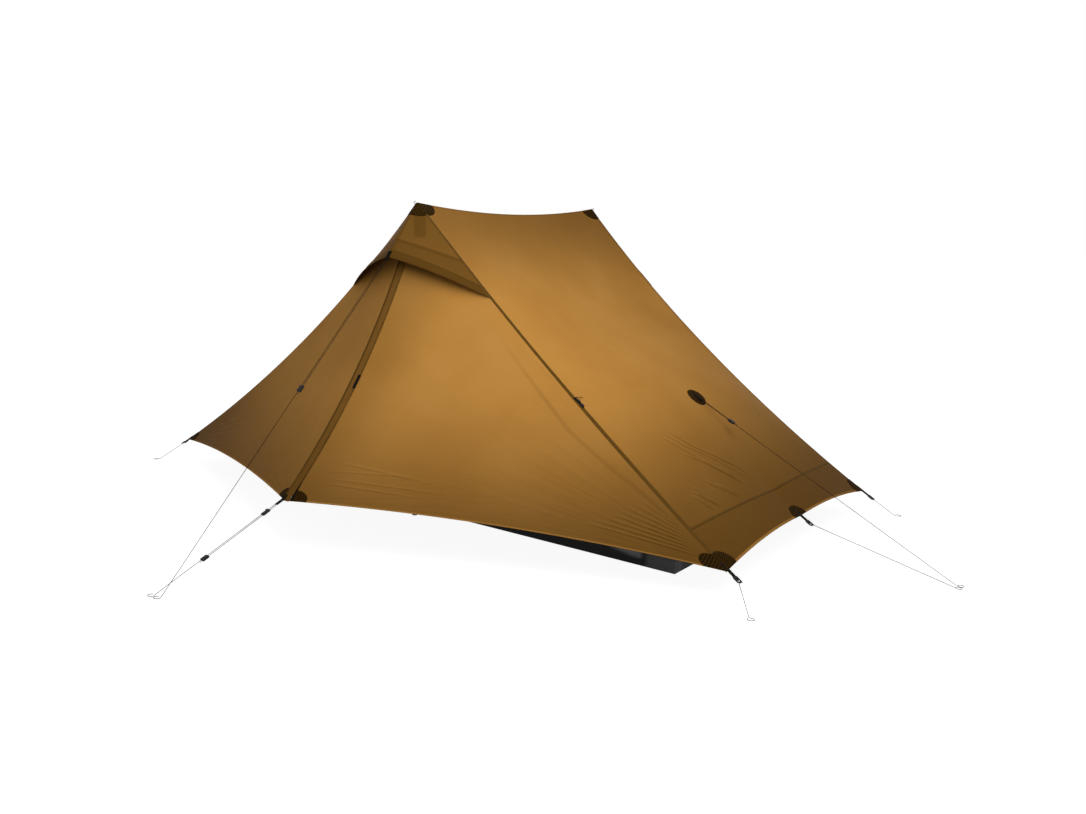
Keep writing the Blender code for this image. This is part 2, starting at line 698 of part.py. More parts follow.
def add_corner(name, flipped, group, cutters):
    """Corner patch on the roof side of a seam, its webbing strap, and the guyline to its peg."""
    place = mirrored if flipped else Vector
    ring = fan_ring(ROOF, (0, 1), CORNER_PATCH_RADIUS, -math.pi / 2, 0, flipped)
    hub = place(ROOF(0, 1))
    down = place(ROOF(0, 1) - ROOF(0, 1 - NEAR_SHARE))
    inward = (ring[-1] - hub).normalized()
    normal = down.cross(inward).normalized()
    normal = normal if normal.z > 0 else -normal
    lift = FLY_CLOTH + PATCH_LIFT
    patch = add_patch(name + "_corner_anchor", "webbing", hub, ring, False, lift, UP, group)
    frame = frame_at(hub + normal * lift + inward * (STRAP_WIDTH / 2 + GAP), down, normal)
    add_strap(patch, frame, STRAP_HOLD, STRAP_REACH, STRAP_WIDTH, cutters)
    top = strap_end(frame, STRAP_REACH, CORD / 4 + GAP)
    add_single_line(name + "_corner_guyline", top, place(CORNER_STAKE), group)


def roof_slope(down):
    """Place on the right roof's middle line, its slope and its normal there."""
    hub = ROOF(0.5, down)
    slope = (hub - ROOF(0.5, down - NEAR_SHARE)).normalized()
    return hub, slope, slope.cross(ACROSS)


def add_end(group, cutters):
    """Patch and strap at the middle of the right hem, with the guyline to its peg."""
    ring = fan_ring(ROOF, (0.5, 1), END_PATCH_RADIUS, -math.pi, 0, False)
    hub, slope, normal = roof_slope(1)
    lift = FLY_CLOTH + PATCH_LIFT
    patch = add_patch("right_end_anchor", "webbing", hub, ring, False, lift, UP, group)
    frame = frame_at(hub + normal * lift, slope, normal)
    add_strap(patch, frame, STRAP_HOLD, STRAP_REACH, STRAP_WIDTH, cutters)
    top = strap_end(frame, STRAP_REACH, CORD / 4 + GAP)
    add_single_line("right_end_guyline", top, END_STAKE - ACROSS * PEG_STEP / 2, group)


def add_tieout(group, cutters):
    """Round patch and loop on the right roof panel, with the guyline that pulls it out."""
    ring = fan_ring(ROOF, (0.5, TIEOUT_SHARE), TIEOUT_PATCH_RADIUS, 0, 2 * math.pi, False)
    hub, slope, normal = roof_slope(TIEOUT_SHARE)
    lift = FLY_CLOTH + PATCH_LIFT
    patch = add_patch("right_roof_tieout", "ripstop", hub, ring[:-1], True, lift, UP, group)
    start = hub + normal * lift
    ground = END_STAKE + ACROSS * PEG_STEP / 2
    frame = frame_at(start, ground - start, normal)
    add_strap(patch, frame, TIEOUT_STRAP_HOLD, TIEOUT_STRAP_REACH, TIEOUT_STRAP_WIDTH, cutters)
    top = strap_end(frame, TIEOUT_STRAP_REACH, CORD / 2 + GAP)
    aside = UP.cross(ground - top).normalized()
    add_doubled_line("right_roof_guyline", top, ground, ROOF_LOCK_SHARE, aside, group)
    add_line_lock("right_roof_line_lock", top, ground, ROOF_LOCK_SHARE, aside, group, cutters)


def add_vestibule(group, cutters):
    """Patch on the pegged half at the near door's lowest point, its webbing, and its guyline."""
    ring = fan_ring(STAKED, (0, 1), VESTIBULE_PATCH_RADIUS, -math.pi / 2, 0, False)
    patch = add_patch("near_vestibule_anchor", "webbing", STAKED(0, 1), ring, False, PATCH_LIFT, OUTWARD, group)
    down = zip_line(1) - zip_line(1 - VESTIBULE_STRAP_HOLD / (2 * ZIP_RADIUS * ZIP_HALF_ANGLE))
    start = zip_line(1) + down.cross(ALONG).normalized() * PATCH_LIFT
    sewn = frame_at(start, down, OUTWARD)
    add_strap(patch, sewn, VESTIBULE_STRAP_HOLD, WEBBING, VESTIBULE_STRAP_WIDTH, cutters)
    ground = NEAR_STAKE - ALONG * PEG_STEP / 2
    free = frame_at(start, ground - start, OUTWARD)
    add_strap(patch, free, 0, VESTIBULE_STRAP_REACH, VESTIBULE_STRAP_WIDTH, cutters)
    top = strap_end(free, VESTIBULE_STRAP_REACH, CORD / 2 + GAP)
    add_doubled_line("near_vestibule_guyline", top, ground, VESTIBULE_LOCK_SHARE, ALONG, group)
    add_line_lock("near_vestibule_line_lock", top, ground, VESTIBULE_LOCK_SHARE, ALONG, group, cutters)


def add_toggle(group):
    """Toggle on the roof side of the near seam, which buttons the open leaf's loop."""
    across = TOGGLE_SETBACK / (2 * abs(seam(TOGGLE_SHARE).y))
    top = ROOF(across, TOGGLE_SHARE)
    down = ROOF(across, TOGGLE_SHARE + NEAR_SHARE) - top
    normal = down.cross(ROOF(across + NEAR_SHARE, TOGGLE_SHARE) - top).normalized()
    place = top + normal * (FLY_CLOTH + 2 * GAP + TOGGLE_RADIUS)
    profile = [(radius * TOGGLE_RADIUS, height * TOGGLE_LENGTH) for radius, height in TOGGLE_PROFILE_SHARES]
    toggle = add_turned("near_tie_back_toggle", "plastic", profile, SMALL_STEPS, group)
    toggle.matrix_basis = frame_at(place, -down, normal) @ Matrix.Rotation(math.pi / 2, 4, "Y")


def grip_centre():
    """Highest place of the grip's round head that clears the roof and the hood above it."""
    reach = GRIP_HEAD_RADIUS + GAP
    heights = []
    for surface, length in ((ROOF, (FAR_PEAK - PEAK).length), (HOOD, (HOOD_APEX - PEAK).length)):
        for i in range(ROUND_STEPS * 3 + 1):
            for k in range(ROUND_STEPS * 3 + 1):
                across, down = i / ROUND_STEPS / 3, k / ROUND_STEPS / 3
                if surface is ROOF:
                    across, down = across * 3 * reach / length, down * 3 * reach / length
                point = surface(across, down)
                aside = (point - POLE_PLACE).xy.length
                if aside < reach:
                    heights.append(point.z - math.sqrt(reach ** 2 - aside ** 2))
    return min(heights)


def add_grip(centre, bottom, group):
    """Foam grip with a round head, a waist, a palm swell, and a socket for the shaft."""
    socket = UPPER_SHAFT_RADIUS + GAP
    angles = [math.radians(15 * i) for i in range(8)]
    profile = [(GRIP_HEAD_RADIUS * math.sin(a), centre + GRIP_HEAD_RADIUS * math.cos(a)) for a in angles]
    profile += [(GRIP_NECK_RADIUS, centre - NECK_TOP), (GRIP_NECK_RADIUS, centre - NECK_END),
                (GRIP_PALM_RADIUS, (centre - NECK_END + bottom) / 2), (GRIP_NECK_RADIUS, bottom),
                (socket, bottom), (socket, bottom + GRIP_SOCKET + GAP), (0, bottom + GRIP_SOCKET + GAP)]
    grip = add_turned("near_pole_grip", "foam", profile, ROUND_STEPS, group)
    grip.location = POLE_PLACE


def add_upper_shaft(top, foot, bore_top, group, cutters):
    """Upper shaft, a tube that ends in a clamp collar with two ears and the lever's pin."""
    collar = foot + COLLAR_HEIGHT
    bore = UPPER_SHAFT_RADIUS - SHAFT_WALL
    profile = [(0, top), (UPPER_SHAFT_RADIUS, top), (UPPER_SHAFT_RADIUS, collar),
               (COLLAR_RADIUS - COLLAR_EDGE, collar), (COLLAR_RADIUS, collar - COLLAR_EDGE),
               (COLLAR_RADIUS, foot + COLLAR_EDGE), (COLLAR_RADIUS - COLLAR_EDGE, foot),
               (bore, foot), (bore, bore_top), (0, bore_top)]
    upper = add_turned("near_pole_upper_shaft", "tube", profile, ROUND_STEPS, group)
    upper.location = POLE_PLACE
    near, far = COLLAR_RADIUS - COLLAR_EDGE, PIN_REACH + EAR_WIDTH / 2
    rise = (COLLAR_HEIGHT - COLLAR_EDGE - EAR_THICKNESS) / 2
    middle = POLE_PLACE + UP * (foot + COLLAR_HEIGHT / 2)
    for level in (-rise, rise):
        ear = Matrix.Translation(middle - ACROSS * (near + far) / 2 + UP * level)
        block = block_bmesh(ear, (EAR_WIDTH, far - near, EAR_THICKNESS), (0, 0, 0), STRAP_EDGE)
        combine(upper, block, "UNION", cutters)
    pin = rod_bmesh(Matrix.Translation(middle - ACROSS * PIN_REACH), PIN_RADIUS, 2 * rise, SMALL_STEPS)
    combine(upper, pin, "UNION", cutters)


def add_lower_shaft(top, group, cutters):
    """Lower shaft with its pierced basket and rubber foot."""
    radius = UPPER_SHAFT_RADIUS - SHAFT_WALL - SHAFT_CLEARANCE
    basket = BASKET_HEIGHT + BASKET_THICKNESS / 2
    under = BASKET_HEIGHT - BASKET_THICKNESS / 2
    profile = [(0, top), (radius, top), (radius, basket + BASKET_HUB_HEIGHT),
               (BASKET_HUB_RADIUS, basket + BASKET_HUB_HEIGHT), (BASKET_HUB_RADIUS, basket),
               (BASKET_RADIUS, basket), (BASKET_RADIUS, under), (BASKET_HUB_RADIUS, under),
               (TIP_RADIUS, under - BASKET_HUB_HEIGHT), (TIP_RADIUS, FOOT_HEIGHT),
               (FOOT_RADIUS - FOOT_EDGE, FOOT_HEIGHT), (FOOT_RADIUS, FOOT_HEIGHT - FOOT_EDGE),
               (FOOT_RADIUS, 0), (0, 0)]
    lower = add_turned("near_pole_lower_shaft", "tube", profile, ROUND_STEPS, group)
    lower.location = POLE_PLACE
    for i in range(BASKET_HOLES):
        turn = Matrix.Rotation(2 * math.pi * i / BASKET_HOLES, 4, "Z")
        middle = turn @ Vector(((BASKET_HUB_RADIUS + BASKET_RADIUS) / 2, 0, BASKET_HEIGHT))
        place = Matrix.Translation(POLE_PLACE + middle)
        hole = rod_bmesh(place, BASKET_HOLE_RADIUS, BASKET_THICKNESS + CUT_OVERRUN, SMALL_STEPS)
        combine(lower, hole, "DIFFERENCE", cutters)


def add_lever(foot, group, cutters):
    """Clamp lever, an arm spun round the collar from the knuckle on its pin."""
    height = COLLAR_HEIGHT - COLLAR_EDGE - 2 * EAR_THICKNESS - 2 * GAP
    middle = POLE_PLACE + UP * (foot + COLLAR_HEIGHT / 2)
    inner, outer = COLLAR_RADIUS + GAP, COLLAR_RADIUS + GAP + LEVER_THICKNESS
    bm = bmesh.new()
    corners = [(inner, -height / 2), (outer, -height / 2), (outer, height / 2), (inner, height / 2)]
    bm.faces.new([bm.verts.new((0, -radius, level)) for radius, level in corners])
    turn = Matrix.Rotation(LEVER_START, 4, "Z")
    bmesh.ops.transform(bm, matrix=turn, verts=bm.verts)
    bmesh.ops.spin(bm, geom=bm.verts[:] + bm.edges[:] + bm.faces[:], cent=(0, 0, 0), axis=(0, 0, 1),
                   angle=LEVER_SWEEP, steps=SMALL_STEPS)
    bmesh.ops.recalc_face_normals(bm, faces=bm.faces)
    bmesh.ops.translate(bm, vec=middle, verts=bm.verts)
    lever = add_piece("near_pole_lock_lever", shaded_mesh("near_pole_lock_lever", bm), "plastic", group)
    pin = Matrix.Translation(middle - ACROSS * PIN_REACH)
    combine(lever, rod_bmesh(pin, KNUCKLE_RADIUS, height, ROUND_STEPS), "UNION", cutters)
    combine(lever, rod_bmesh(pin, PIN_RADIUS + GAP, height + CUT_OVERRUN, SMALL_STEPS), "DIFFERENCE", cutters)
    set_origin(lever, pin.to_translation())


def add_pole(group, cutters):
    """Near trekking pole, stood under the peak."""
    centre = grip_centre()
    bottom = centre + GRIP_HEAD_RADIUS - GRIP_LENGTH
    top = bottom + GRIP_SOCKET
    foot = top - UPPER_SHAFT_LENGTH
    lower_top = foot + SHAFT_OVERLAP
    add_grip(centre, bottom, group)
    add_upper_shaft(top, foot, lower_top + POLE_TRAVEL + BORE_SPARE, group, cutters)
    add_lower_shaft(lower_top, group, cutters)
    add_lever(foot, group, cutters)


def add_tub(group):
    """Bathtub floor: a shallow tray whose walls lean in."""
    bm = bmesh.new()
    bmesh.ops.create_cube(bm, size=1)
    bmesh.ops.translate(bm, vec=UP / 2, verts=bm.verts)
    bmesh.ops.scale(bm, vec=(2 * FLOOR_HALF_LENGTH, 2 * FLOOR_HALF_WIDTH, TUB_HEIGHT), verts=bm.verts)
    for vertex in bm.verts:
        if vertex.co.z > TUB_HEIGHT / 2:
            vertex.co.x -= math.copysign(TUB_LEAN, vertex.co.x)
            vertex.co.y -= math.copysign(TUB_LEAN, vertex.co.y)
    bm.normal_update()
    lid = [face for face in bm.faces if face.normal.z > 0.9]
    bmesh.ops.delete(bm, geom=lid, context="FACES_ONLY")
    tub = add_piece("floor_tub", shaded_mesh("floor_tub", bm), "tub", group)
    thicken(tub, TUB_CLOTH, False)


def add_inner(group):
    """Mesh canopy over the tub, and its near door, hinged along the tub's edge."""
    add_panel("inner_canopy", "mesh", canopy_point, CANOPY_CELLS, MESH_CLOTH, UP, True, group)
    door = add_panel("near_inner_door", "mesh", inner_door_point, INNER_DOOR_CELLS, MESH_CLOTH, -ACROSS, False,
                     group)
    set_origin(door, Vector((0, MESH_CLOTH - INNER_FOOT_WIDTH, INNER_FOOT)))


SWAPS = {"near": "far", "far": "near", "right": "left", "left": "right"}


def add_turned_copy(piece, group, cutters):
    """The same piece half a turn round the tent, with its name's sides swapped."""
    name = "_".join(SWAPS.get(word, word) for word in piece.name.split("_"))
    copy = piece.copy()
    copy.name = name
    copy.data = piece.data.copy()
    copy.data.materials[0] = piece.data.materials[0].copy()
    copy.data.materials[0].name = name
    copy.matrix_basis = HALF_TURN @ piece.matrix_basis
    group.objects.link(copy)
    for step in copy.modifiers:
        if step.type == "BOOLEAN":
            other = step.object.copy()
            other.matrix_basis = HALF_TURN @ step.object.matrix_basis
            cutters.objects.link(other)
            step.object = other


def main():
    """Build the tent."""
    for old in list(bpy.data.objects):
        bpy.data.objects.remove(old)
    tent = add_collection("trekking_pole_tent")
    cutters = add_collection("cutters")
    add_roof(tent)
    add_doors(tent)
    add_hood(tent, cutters)
    add_zip(tent, cutters)
    add_peak_patch(tent)
    add_corner("near_right", False, tent, cutters)
    add_corner("near_left", True, tent, cutters)
    add_end(tent, cutters)
    add_tieout(tent, cutters)
    add_vestibule(tent, cutters)
    add_toggle(tent)
    add_pole(tent, cutters)
    add_tub(tent)
    add_inner(tent)
    for piece in list(tent.objects):
        if piece.name not in ("floor_tub", "inner_canopy"):
            add_turned_copy(piece, tent, cutters)


main()
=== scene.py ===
"""Double-peak trekking pole tent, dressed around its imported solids.

The fly is coated nylon drawn tight between two poles and ten pegs. The near side and the right
end are modelled once. The tent looks the same after half a turn about Z, so each piece there has
a half-turn copy on the far side or the left end. Lengths are in metres, X runs along the tent,
Y across it from the near door to the far one, and Z up from the ground.
"""

import logging
import math
from collections.abc import Callable, Sequence
from dataclasses import dataclass, field
from enum import Enum
from functools import partial
from itertools import accumulate

import bmesh
import bpy
from mathutils import Matrix, Vector, noise


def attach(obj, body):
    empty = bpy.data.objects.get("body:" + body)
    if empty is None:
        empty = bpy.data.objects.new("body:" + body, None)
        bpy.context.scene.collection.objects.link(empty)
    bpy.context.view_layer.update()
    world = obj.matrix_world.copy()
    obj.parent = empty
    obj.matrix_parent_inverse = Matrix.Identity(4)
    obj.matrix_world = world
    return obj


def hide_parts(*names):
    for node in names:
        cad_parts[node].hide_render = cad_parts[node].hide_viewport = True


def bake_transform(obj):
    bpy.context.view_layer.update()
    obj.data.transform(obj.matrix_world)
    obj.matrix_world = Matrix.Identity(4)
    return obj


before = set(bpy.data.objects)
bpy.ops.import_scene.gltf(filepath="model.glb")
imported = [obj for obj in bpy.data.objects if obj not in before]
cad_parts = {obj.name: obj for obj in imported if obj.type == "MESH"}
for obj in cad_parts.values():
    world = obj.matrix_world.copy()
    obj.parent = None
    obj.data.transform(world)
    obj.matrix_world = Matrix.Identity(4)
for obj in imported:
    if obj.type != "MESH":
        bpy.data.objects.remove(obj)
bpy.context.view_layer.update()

log = logging.getLogger("tent")

MM = 0.001
UP = Vector((0, 0, 1))
ALONG = Vector((1, 0, 0))
ACROSS = Vector((0, 1, 0))
OUTWARD = UP - ACROSS
HALF_TURN = Matrix.Rotation(math.pi, 4, "Z")
# A full wave of the wave texture is 0.1 pi of its coordinate at scale 1
WAVE = 0.314159
# Where the painted shadow of the inner tent's edge runs on the near door
INNER_EDGE_SHADOW = ((0.338, -0.639, 0.866), (0.539, -0.65, 0.679), (0.773, -0.67, 0.479), (0.95, -0.664, 0.37),
              (1.1, -0.655, 0.29), (1.25, -0.65, 0.19))

Object = bpy.types.Object
Material = bpy.types.Material
Socket = bpy.types.NodeSocket
Feeds = dict[str | int, object]
Surface = Callable[[float, float], Vector]
Relief = Callable[[float, float, Vector], float]
Rail = Callable[[float], Vector]
Shade = Callable[[Vector], float]


# -------------------- small helpers


def arch(share: float) -> float:
    """Parabola of height one over a span of one."""
    return 4 * share * (1 - share)


def ease(value: float, low: float, high: float) -> float:
    """Smooth step from 0 at low to 1 at high."""
    t = min(max((value - low) / (high - low), 0.0), 1.0)
    return t * t * (3 - 2 * t)


def mm(x: float, y: float, z: float) -> Vector:
    """Vector given in millimetres."""
    return Vector((x, y, z)) * MM


def mirrored(point: Vector) -> Vector:
    """The same point on the other side of the door's zip."""
    return Vector((-point.x, point.y, point.z))


def across_tent(point: Vector) -> Vector:
    """The same point on the other side of the tent's long middle line."""
    return Vector((point.x, -point.y, point.z))


def below_chord(start: Vector, end: Vector) -> Vector:
    """Direction square to a chord, in its upright plane, on its lower side."""
    chord = (end - start).normalized()
    return (chord * UP.dot(chord) - UP).normalized()


def frame_at(origin: Vector, forward: Vector, upward: Vector) -> Matrix:
    """Frame with X along forward, and Z as near upward as it can be."""
    x = forward.normalized()
    y = upward.cross(x).normalized()
    return Matrix.Translation(origin) @ Matrix((x, y, x.cross(y))).transposed().to_4x4()


def shares(count: int, start: float = 0.0, end: float = 1.0) -> list[float]:
    """Evenly spaced shares from start to end, with count steps between them."""
    return [start + (end - start) * i / count for i in range(count + 1)]


def distances(route: Sequence[Vector]) -> list[float]:
    """Distance along a route of each of its points."""
    return list(accumulate(((b - a).length for a, b in zip(route, route[1:])), initial=0.0))


def rails_of(line: Callable[..., Vector], table: Sequence[Sequence[float]]) -> list[Rail]:
    """A rail for each row of a table, whose values the line takes before the share along it."""
    return [partial(line, *row) for row in table]


# -------------------- the tent's shape


@dataclass
class FlyShape:
    """Pitched shape of the fly: where its seams are pinned, and how far each one hangs in.

    These are the values that the solids were made with, so the cloth lies where they are.
    """

    peak_height: float = 1250 * MM
    peak_half_span: float = 621 * MM
    corner_half_length: float = 1412 * MM
    corner_half_width: float = 665 * MM
    corner_height: float = 103 * MM
    vestibule_reach: float = 1295 * MM
    vestibule_height: float = 208 * MM
    end_hem_reach: float = 1393 * MM
    end_hem_height: float = 137 * MM
    ridge_sag: float = 36 * MM
    seam_sag: float = 49 * MM
    seam_draw: float = 35 * MM
    zip_sag: float = 69 * MM
    door_hem_rise: float = 25 * MM
    door_hem_draw: float = 16 * MM
    end_hem_rise: float = 20 * MM
    roof_pull: float = 75 * MM
    roof_pull_reach: float = 330 * MM
    tieout_share: float = 0.65
    door_top_share: float = 0.155
    zip_top_share: float = 0.20
    fold_top_share: float = 0.27
    hood_seam_share: float = 0.273
    flap_width: float = 30 * MM
    gap: float = 0.3 * MM
    hood_overhang: float = 158 * MM
    hood_drop: float = 205 * MM
    hood_hem_rise: float = 22 * MM
    strap_lift: float = 1.5 * MM
    corner_aside: float = 9.3 * MM
    hood_peg: Vector = field(default_factory=lambda: mm(15, -1800, 1))
    vestibule_peg: Vector = field(default_factory=lambda: mm(-15, -1800, 1))
    roof_peg: Vector = field(default_factory=lambda: mm(1970, 15, 1))
    end_peg: Vector = field(default_factory=lambda: mm(1970, -15, 1))
    corner_peg: Vector = field(default_factory=lambda: mm(1533, -742, 1))
    peak: Vector = field(init=False)
    far_peak: Vector = field(init=False)
    corner: Vector = field(init=False)
    far_corner: Vector = field(init=False)
    vestibule: Vector = field(init=False)
    end_hem_middle: Vector = field(init=False)
    hood_apex: Vector = field(init=False)
    seam_length: float = field(init=False)

    def __post_init__(self) -> None:
        """Work out the pinned points and the zip's arc from the sizes."""
        self.peak = Vector((0, -self.peak_half_span, self.peak_height))
        self.far_peak = across_tent(self.peak)
        self.corner = Vector((self.corner_half_length, -self.corner_half_width, self.corner_height))
        self.far_corner = across_tent(self.corner)
        self.vestibule = Vector((0, -self.vestibule_reach, self.vestibule_height))
        self.end_hem_middle = Vector((self.end_hem_reach, 0, self.end_hem_height))
        self.hood_apex = self.peak + Vector((0, -self.hood_overhang, -self.hood_drop))
        self.seam_length = (self.corner - self.peak).length
        chord = self.vestibule - self.peak
        self._seam_below = below_chord(self.peak, self.corner)
        self._seam_inward = self._seam_below * self.seam_sag + ACROSS * self.seam_draw
        self.zip_radius = chord.length_squared / (8 * self.zip_sag) + self.zip_sag / 2
        self.zip_half_angle = math.asin(chord.length / 2 / self.zip_radius)
        self._zip_inward = below_chord(self.peak, self.vestibule)
        self._zip_along = chord.normalized()
        middle = self.peak.lerp(self.vestibule, 0.5)
        self.zip_centre = middle - self._zip_inward * (self.zip_radius - self.zip_sag)
        self.zip_length = 2 * self.zip_radius * self.zip_half_angle

    def seam(self, share: float) -> Vector:
        """Seam from the near peak to the right corner."""
        return self.peak.lerp(self.corner, share) + self._seam_inward * arch(share)

    def zip_direction(self, share: float) -> Vector:
        """Unit vector from the centre of the zip's arc to a place along it."""
        angle = self.zip_half_angle * (2 * share - 1)
        return self._zip_inward * math.cos(angle) + self._zip_along * math.sin(angle)

    def zip_line(self, share: float, aside: float = 0.0, depth: float = 0.0) -> Vector:
        """Zip from the near peak to the staked point, or a line to its right or under it."""
        return self.zip_centre + self.zip_direction(share) * (self.zip_radius + depth) + ALONG * aside

    def ridge(self, share: float) -> Vector:
        """Ridge from the near peak to the far one."""
        return self.peak.lerp(self.far_peak, share) - UP * self.ridge_sag * arch(share)

    def end_hem(self, share: float) -> Vector:
        """Hem of the right end, two shallow arches that meet at the middle guyline."""
        half = 1 - abs(2 * share - 1)
        corner = self.corner if share < 0.5 else self.far_corner
        return corner.lerp(self.end_hem_middle, half) + UP * self.end_hem_rise * arch(half)

    def roof(self, across: float, down: float) -> Vector:
        """Right end of the roof, from its near seam to its far one and from the ridge to the hem."""
        near = self.seam(down)
        point = near.lerp(across_tent(near), across)
        point += (self.ridge(across) - self.peak.lerp(self.far_peak, across)) * (1 - down) ** 2
        point += (self.end_hem(across) - self.corner.lerp(self.far_corner, across)) * down ** 3
        span = (down - self.tieout_share) * self.seam_length / self.roof_pull_reach
        point -= self._seam_below * self.roof_pull * arch(across) * math.exp(-span * span)
        return point

    def door(self, across: float, down: float, zip_edge: float = 0.0) -> Vector:
        """Near door, from its zip edge to the right seam and from the peak to the hem."""
        edge = self.zip_line(down, zip_edge)
        lift = UP * self.door_hem_rise + ACROSS * self.door_hem_draw
        return edge.lerp(self.seam(down), across) + lift * arch(across) * down ** 3

    def door_share(self, down: float) -> float:
        """Share along the seam of a share down the door's cloth."""
        return self.door_top_share + (1 - self.door_top_share) * down

    def opening_half(self, across: float, down: float) -> Vector:
        """Right half of the near door, with its leaf and the gusset over it."""
        return self.door(across, self.door_share(down), self.flap_width + self.gap)

    def pegged_half(self, across: float, down: float) -> Vector:
        """Left half of the near door, which stays pegged."""
        return mirrored(self.door(across, self.door_share(down)))

    def hood(self, across: float, down: float) -> Vector:
        """Vent hood, from its left side to its right one and from the peak to the stiff hem."""
        spread = abs(2 * across - 1)
        point = self.peak.lerp(self.hood_apex, down).lerp(self.seam(self.hood_seam_share * down), spread)
        point += OUTWARD.normalized() * (self.hood_hem_rise * arch(spread) * down ** 2 + 2 * self.gap * down)
        return point if across > 0.5 else mirrored(point)

    def hood_frame(self) -> Matrix:
        """Frame of the tab on the hood's hem, with X out from it."""
        return frame_at(self.hood_apex, self.hood_apex - self.peak, OUTWARD)

    def zip_foot(self, peg: Vector | None = None) -> Matrix:
        """Frame of the webbing at the zip's foot, with X down the zip or out to a peg."""
        down = self.zip_line(1) - self.zip_line(1 - 55 * MM / self.zip_length)
        start = self.zip_line(1) + down.cross(ALONG).normalized() * 0.5 * MM
        return frame_at(start, down if peg is None else peg - start, OUTWARD)

    def strap_frame(self, across: float, down: float, aside: float = 0.0, peg: Vector | None = None) -> Matrix:
        """Frame of a strap on the roof.

        Args:
            across: Share across the roof.
            down: Share down it.
            aside: How far the strap lies towards the far side from there.
            peg: The peg that the strap points to, or nothing for down the slope.

        Returns:
            The frame, with X along the strap and Z out from the cloth.
        """
        hub = self.roof(across, down)
        slope = hub - self.roof(across, down - 0.01)
        normal = slope.cross(ACROSS).normalized()
        start = hub + normal * self.strap_lift + ACROSS * aside
        return frame_at(start, slope if peg is None else peg - start, normal)


@dataclass
class InnerShape:
    """Pitched shape of the inner tent: its bathtub floor and the mesh over it."""

    fly: FlyShape
    floor_half_length: float = 1161 * MM
    floor_half_width: float = 542 * MM
    tub_height: float = 150 * MM
    tub_lean: float = 10 * MM
    peak_drop: float = 115 * MM
    side_sag: float = 35 * MM
    top_width: float = 621 * MM - 8 * MM - 13.5 * MM - 0.3 * MM
    foot: float = 150.3 * MM
    door_head: float = 0.04

    def side(self, share: float) -> Vector:
        """Right side of the canopy's near edge, from its ridge to the tub."""
        width = self.floor_half_width - self.tub_lean
        top = Vector((0, -self.top_width, self.fly.peak_height - self.peak_drop))
        foot = Vector((self.floor_half_length - self.tub_lean, -width, self.foot))
        point = top.lerp(foot, share) + below_chord(top, foot) * self.side_sag * arch(share)
        height = (point.z - self.foot) / (top.z - self.foot)
        point.y = -(width + (self.top_width - width) * height)
        return point

    def canopy(self, along: float, width: float) -> Vector:
        """Mesh canopy, from its left foot over the ridge to its right foot, and across the tent."""
        edge = self.side(abs(2 * along - 1))
        edge = edge if along > 0.5 else mirrored(edge)
        return edge.lerp(across_tent(edge), width)

    def door(self, across: float, down: float) -> Vector:
        """Near mesh door, which fills the canopy's near side down to the tub."""
        edge = self.side(self.door_head + (1 - self.door_head) * down)
        point = edge - ALONG * 0.7 * MM - UP * (1 - down) * 3.7 * MM
        return mirrored(point).lerp(point, across)


# -------------------- wrinkles


@dataclass(frozen=True)
class Fan:
    """Tension folds that run out of an anchor, as thin crests with flat cloth between them.

    Attributes:
        hub: The anchor.
        towards: A point that the middle of the fan runs to.
        normal: About the cloth's own normal there.
        spread: Half the fan's angle, in radians.
        rate: Folds for each radian.
        height: Height of the crests.
        start: Distance from the hub where they begin.
        reach: Distance from the hub where they have died out.
        seed: Which of the random draws it uses.
    """

    hub: Vector
    towards: Vector
    normal: Vector
    spread: float
    rate: float
    height: float
    start: float
    reach: float
    seed: float

    def lift(self, point: Vector) -> float:
        """Height of the folds at a point."""
        arm = point - self.hub
        distance = arm.length
        if distance < self.start or distance > self.reach:
            return 0.0
        axis = (self.towards - self.hub).normalized()
        side = self.normal.cross(axis).normalized()
        angle = math.atan2(arm.dot(side), arm.dot(axis))
        window = 1 - ease(abs(angle), self.spread * 0.6, self.spread)
        if window <= 0:
            return 0.0
        value = noise.noise(Vector((angle * self.rate, distance * 1.1, self.seed)))
        crest = max(0.0, 1 - abs(value) / 0.2)
        along = ease(distance, self.start, self.start * 2.2) * (1 - ease(distance, self.reach * 0.45, self.reach))
        return self.height * window * along * crest * crest * (3 - 2 * crest)


@dataclass(frozen=True)
class Crease:
    """Thin crest that the pull of the lines raises in the cloth, fading out at both ends.

    Attributes:
        places: Shares across and down the panel that it runs through, the highest one first.
        height: Its height.
        width: Half its width.
    """

    places: tuple[tuple[float, float], ...]
    height: float
    width: float

    def lift(self, across: float, down: float, width: float, length: float) -> float:
        """Height of the crest at a place on a panel.

        Args:
            across: Share across the panel.
            down: Share down it.
            width: The panel's width.
            length: Its length.

        Returns:
            The height.
        """
        tops = [place[1] for place in self.places]
        if not min(tops) - 0.01 < down < max(tops) + 0.01:
            return 0.0
        x, y = across * width, down * length
        nearest, reached, run = 1.0, 0.0, 0.0
        for (a0, d0), (a1, d1) in zip(self.places, self.places[1:]):
            dx, dy = (a1 - a0) * width, (d1 - d0) * length
            span = math.hypot(dx, dy)
            t = min(max(((x - a0 * width) * dx + (y - d0 * length) * dy) / span ** 2, 0.0), 1.0)
            off = math.hypot(x - a0 * width - t * dx, y - d0 * length - t * dy)
            if off < nearest:
                nearest, reached = off, run + t * span
            run += span
        crest = max(0.0, 1 - nearest / self.width)
        share = reached / run
        return self.height * crest * crest * (3 - 2 * crest) * ease(share, 0, 0.3) * (1 - ease(share, 0.7, 1))


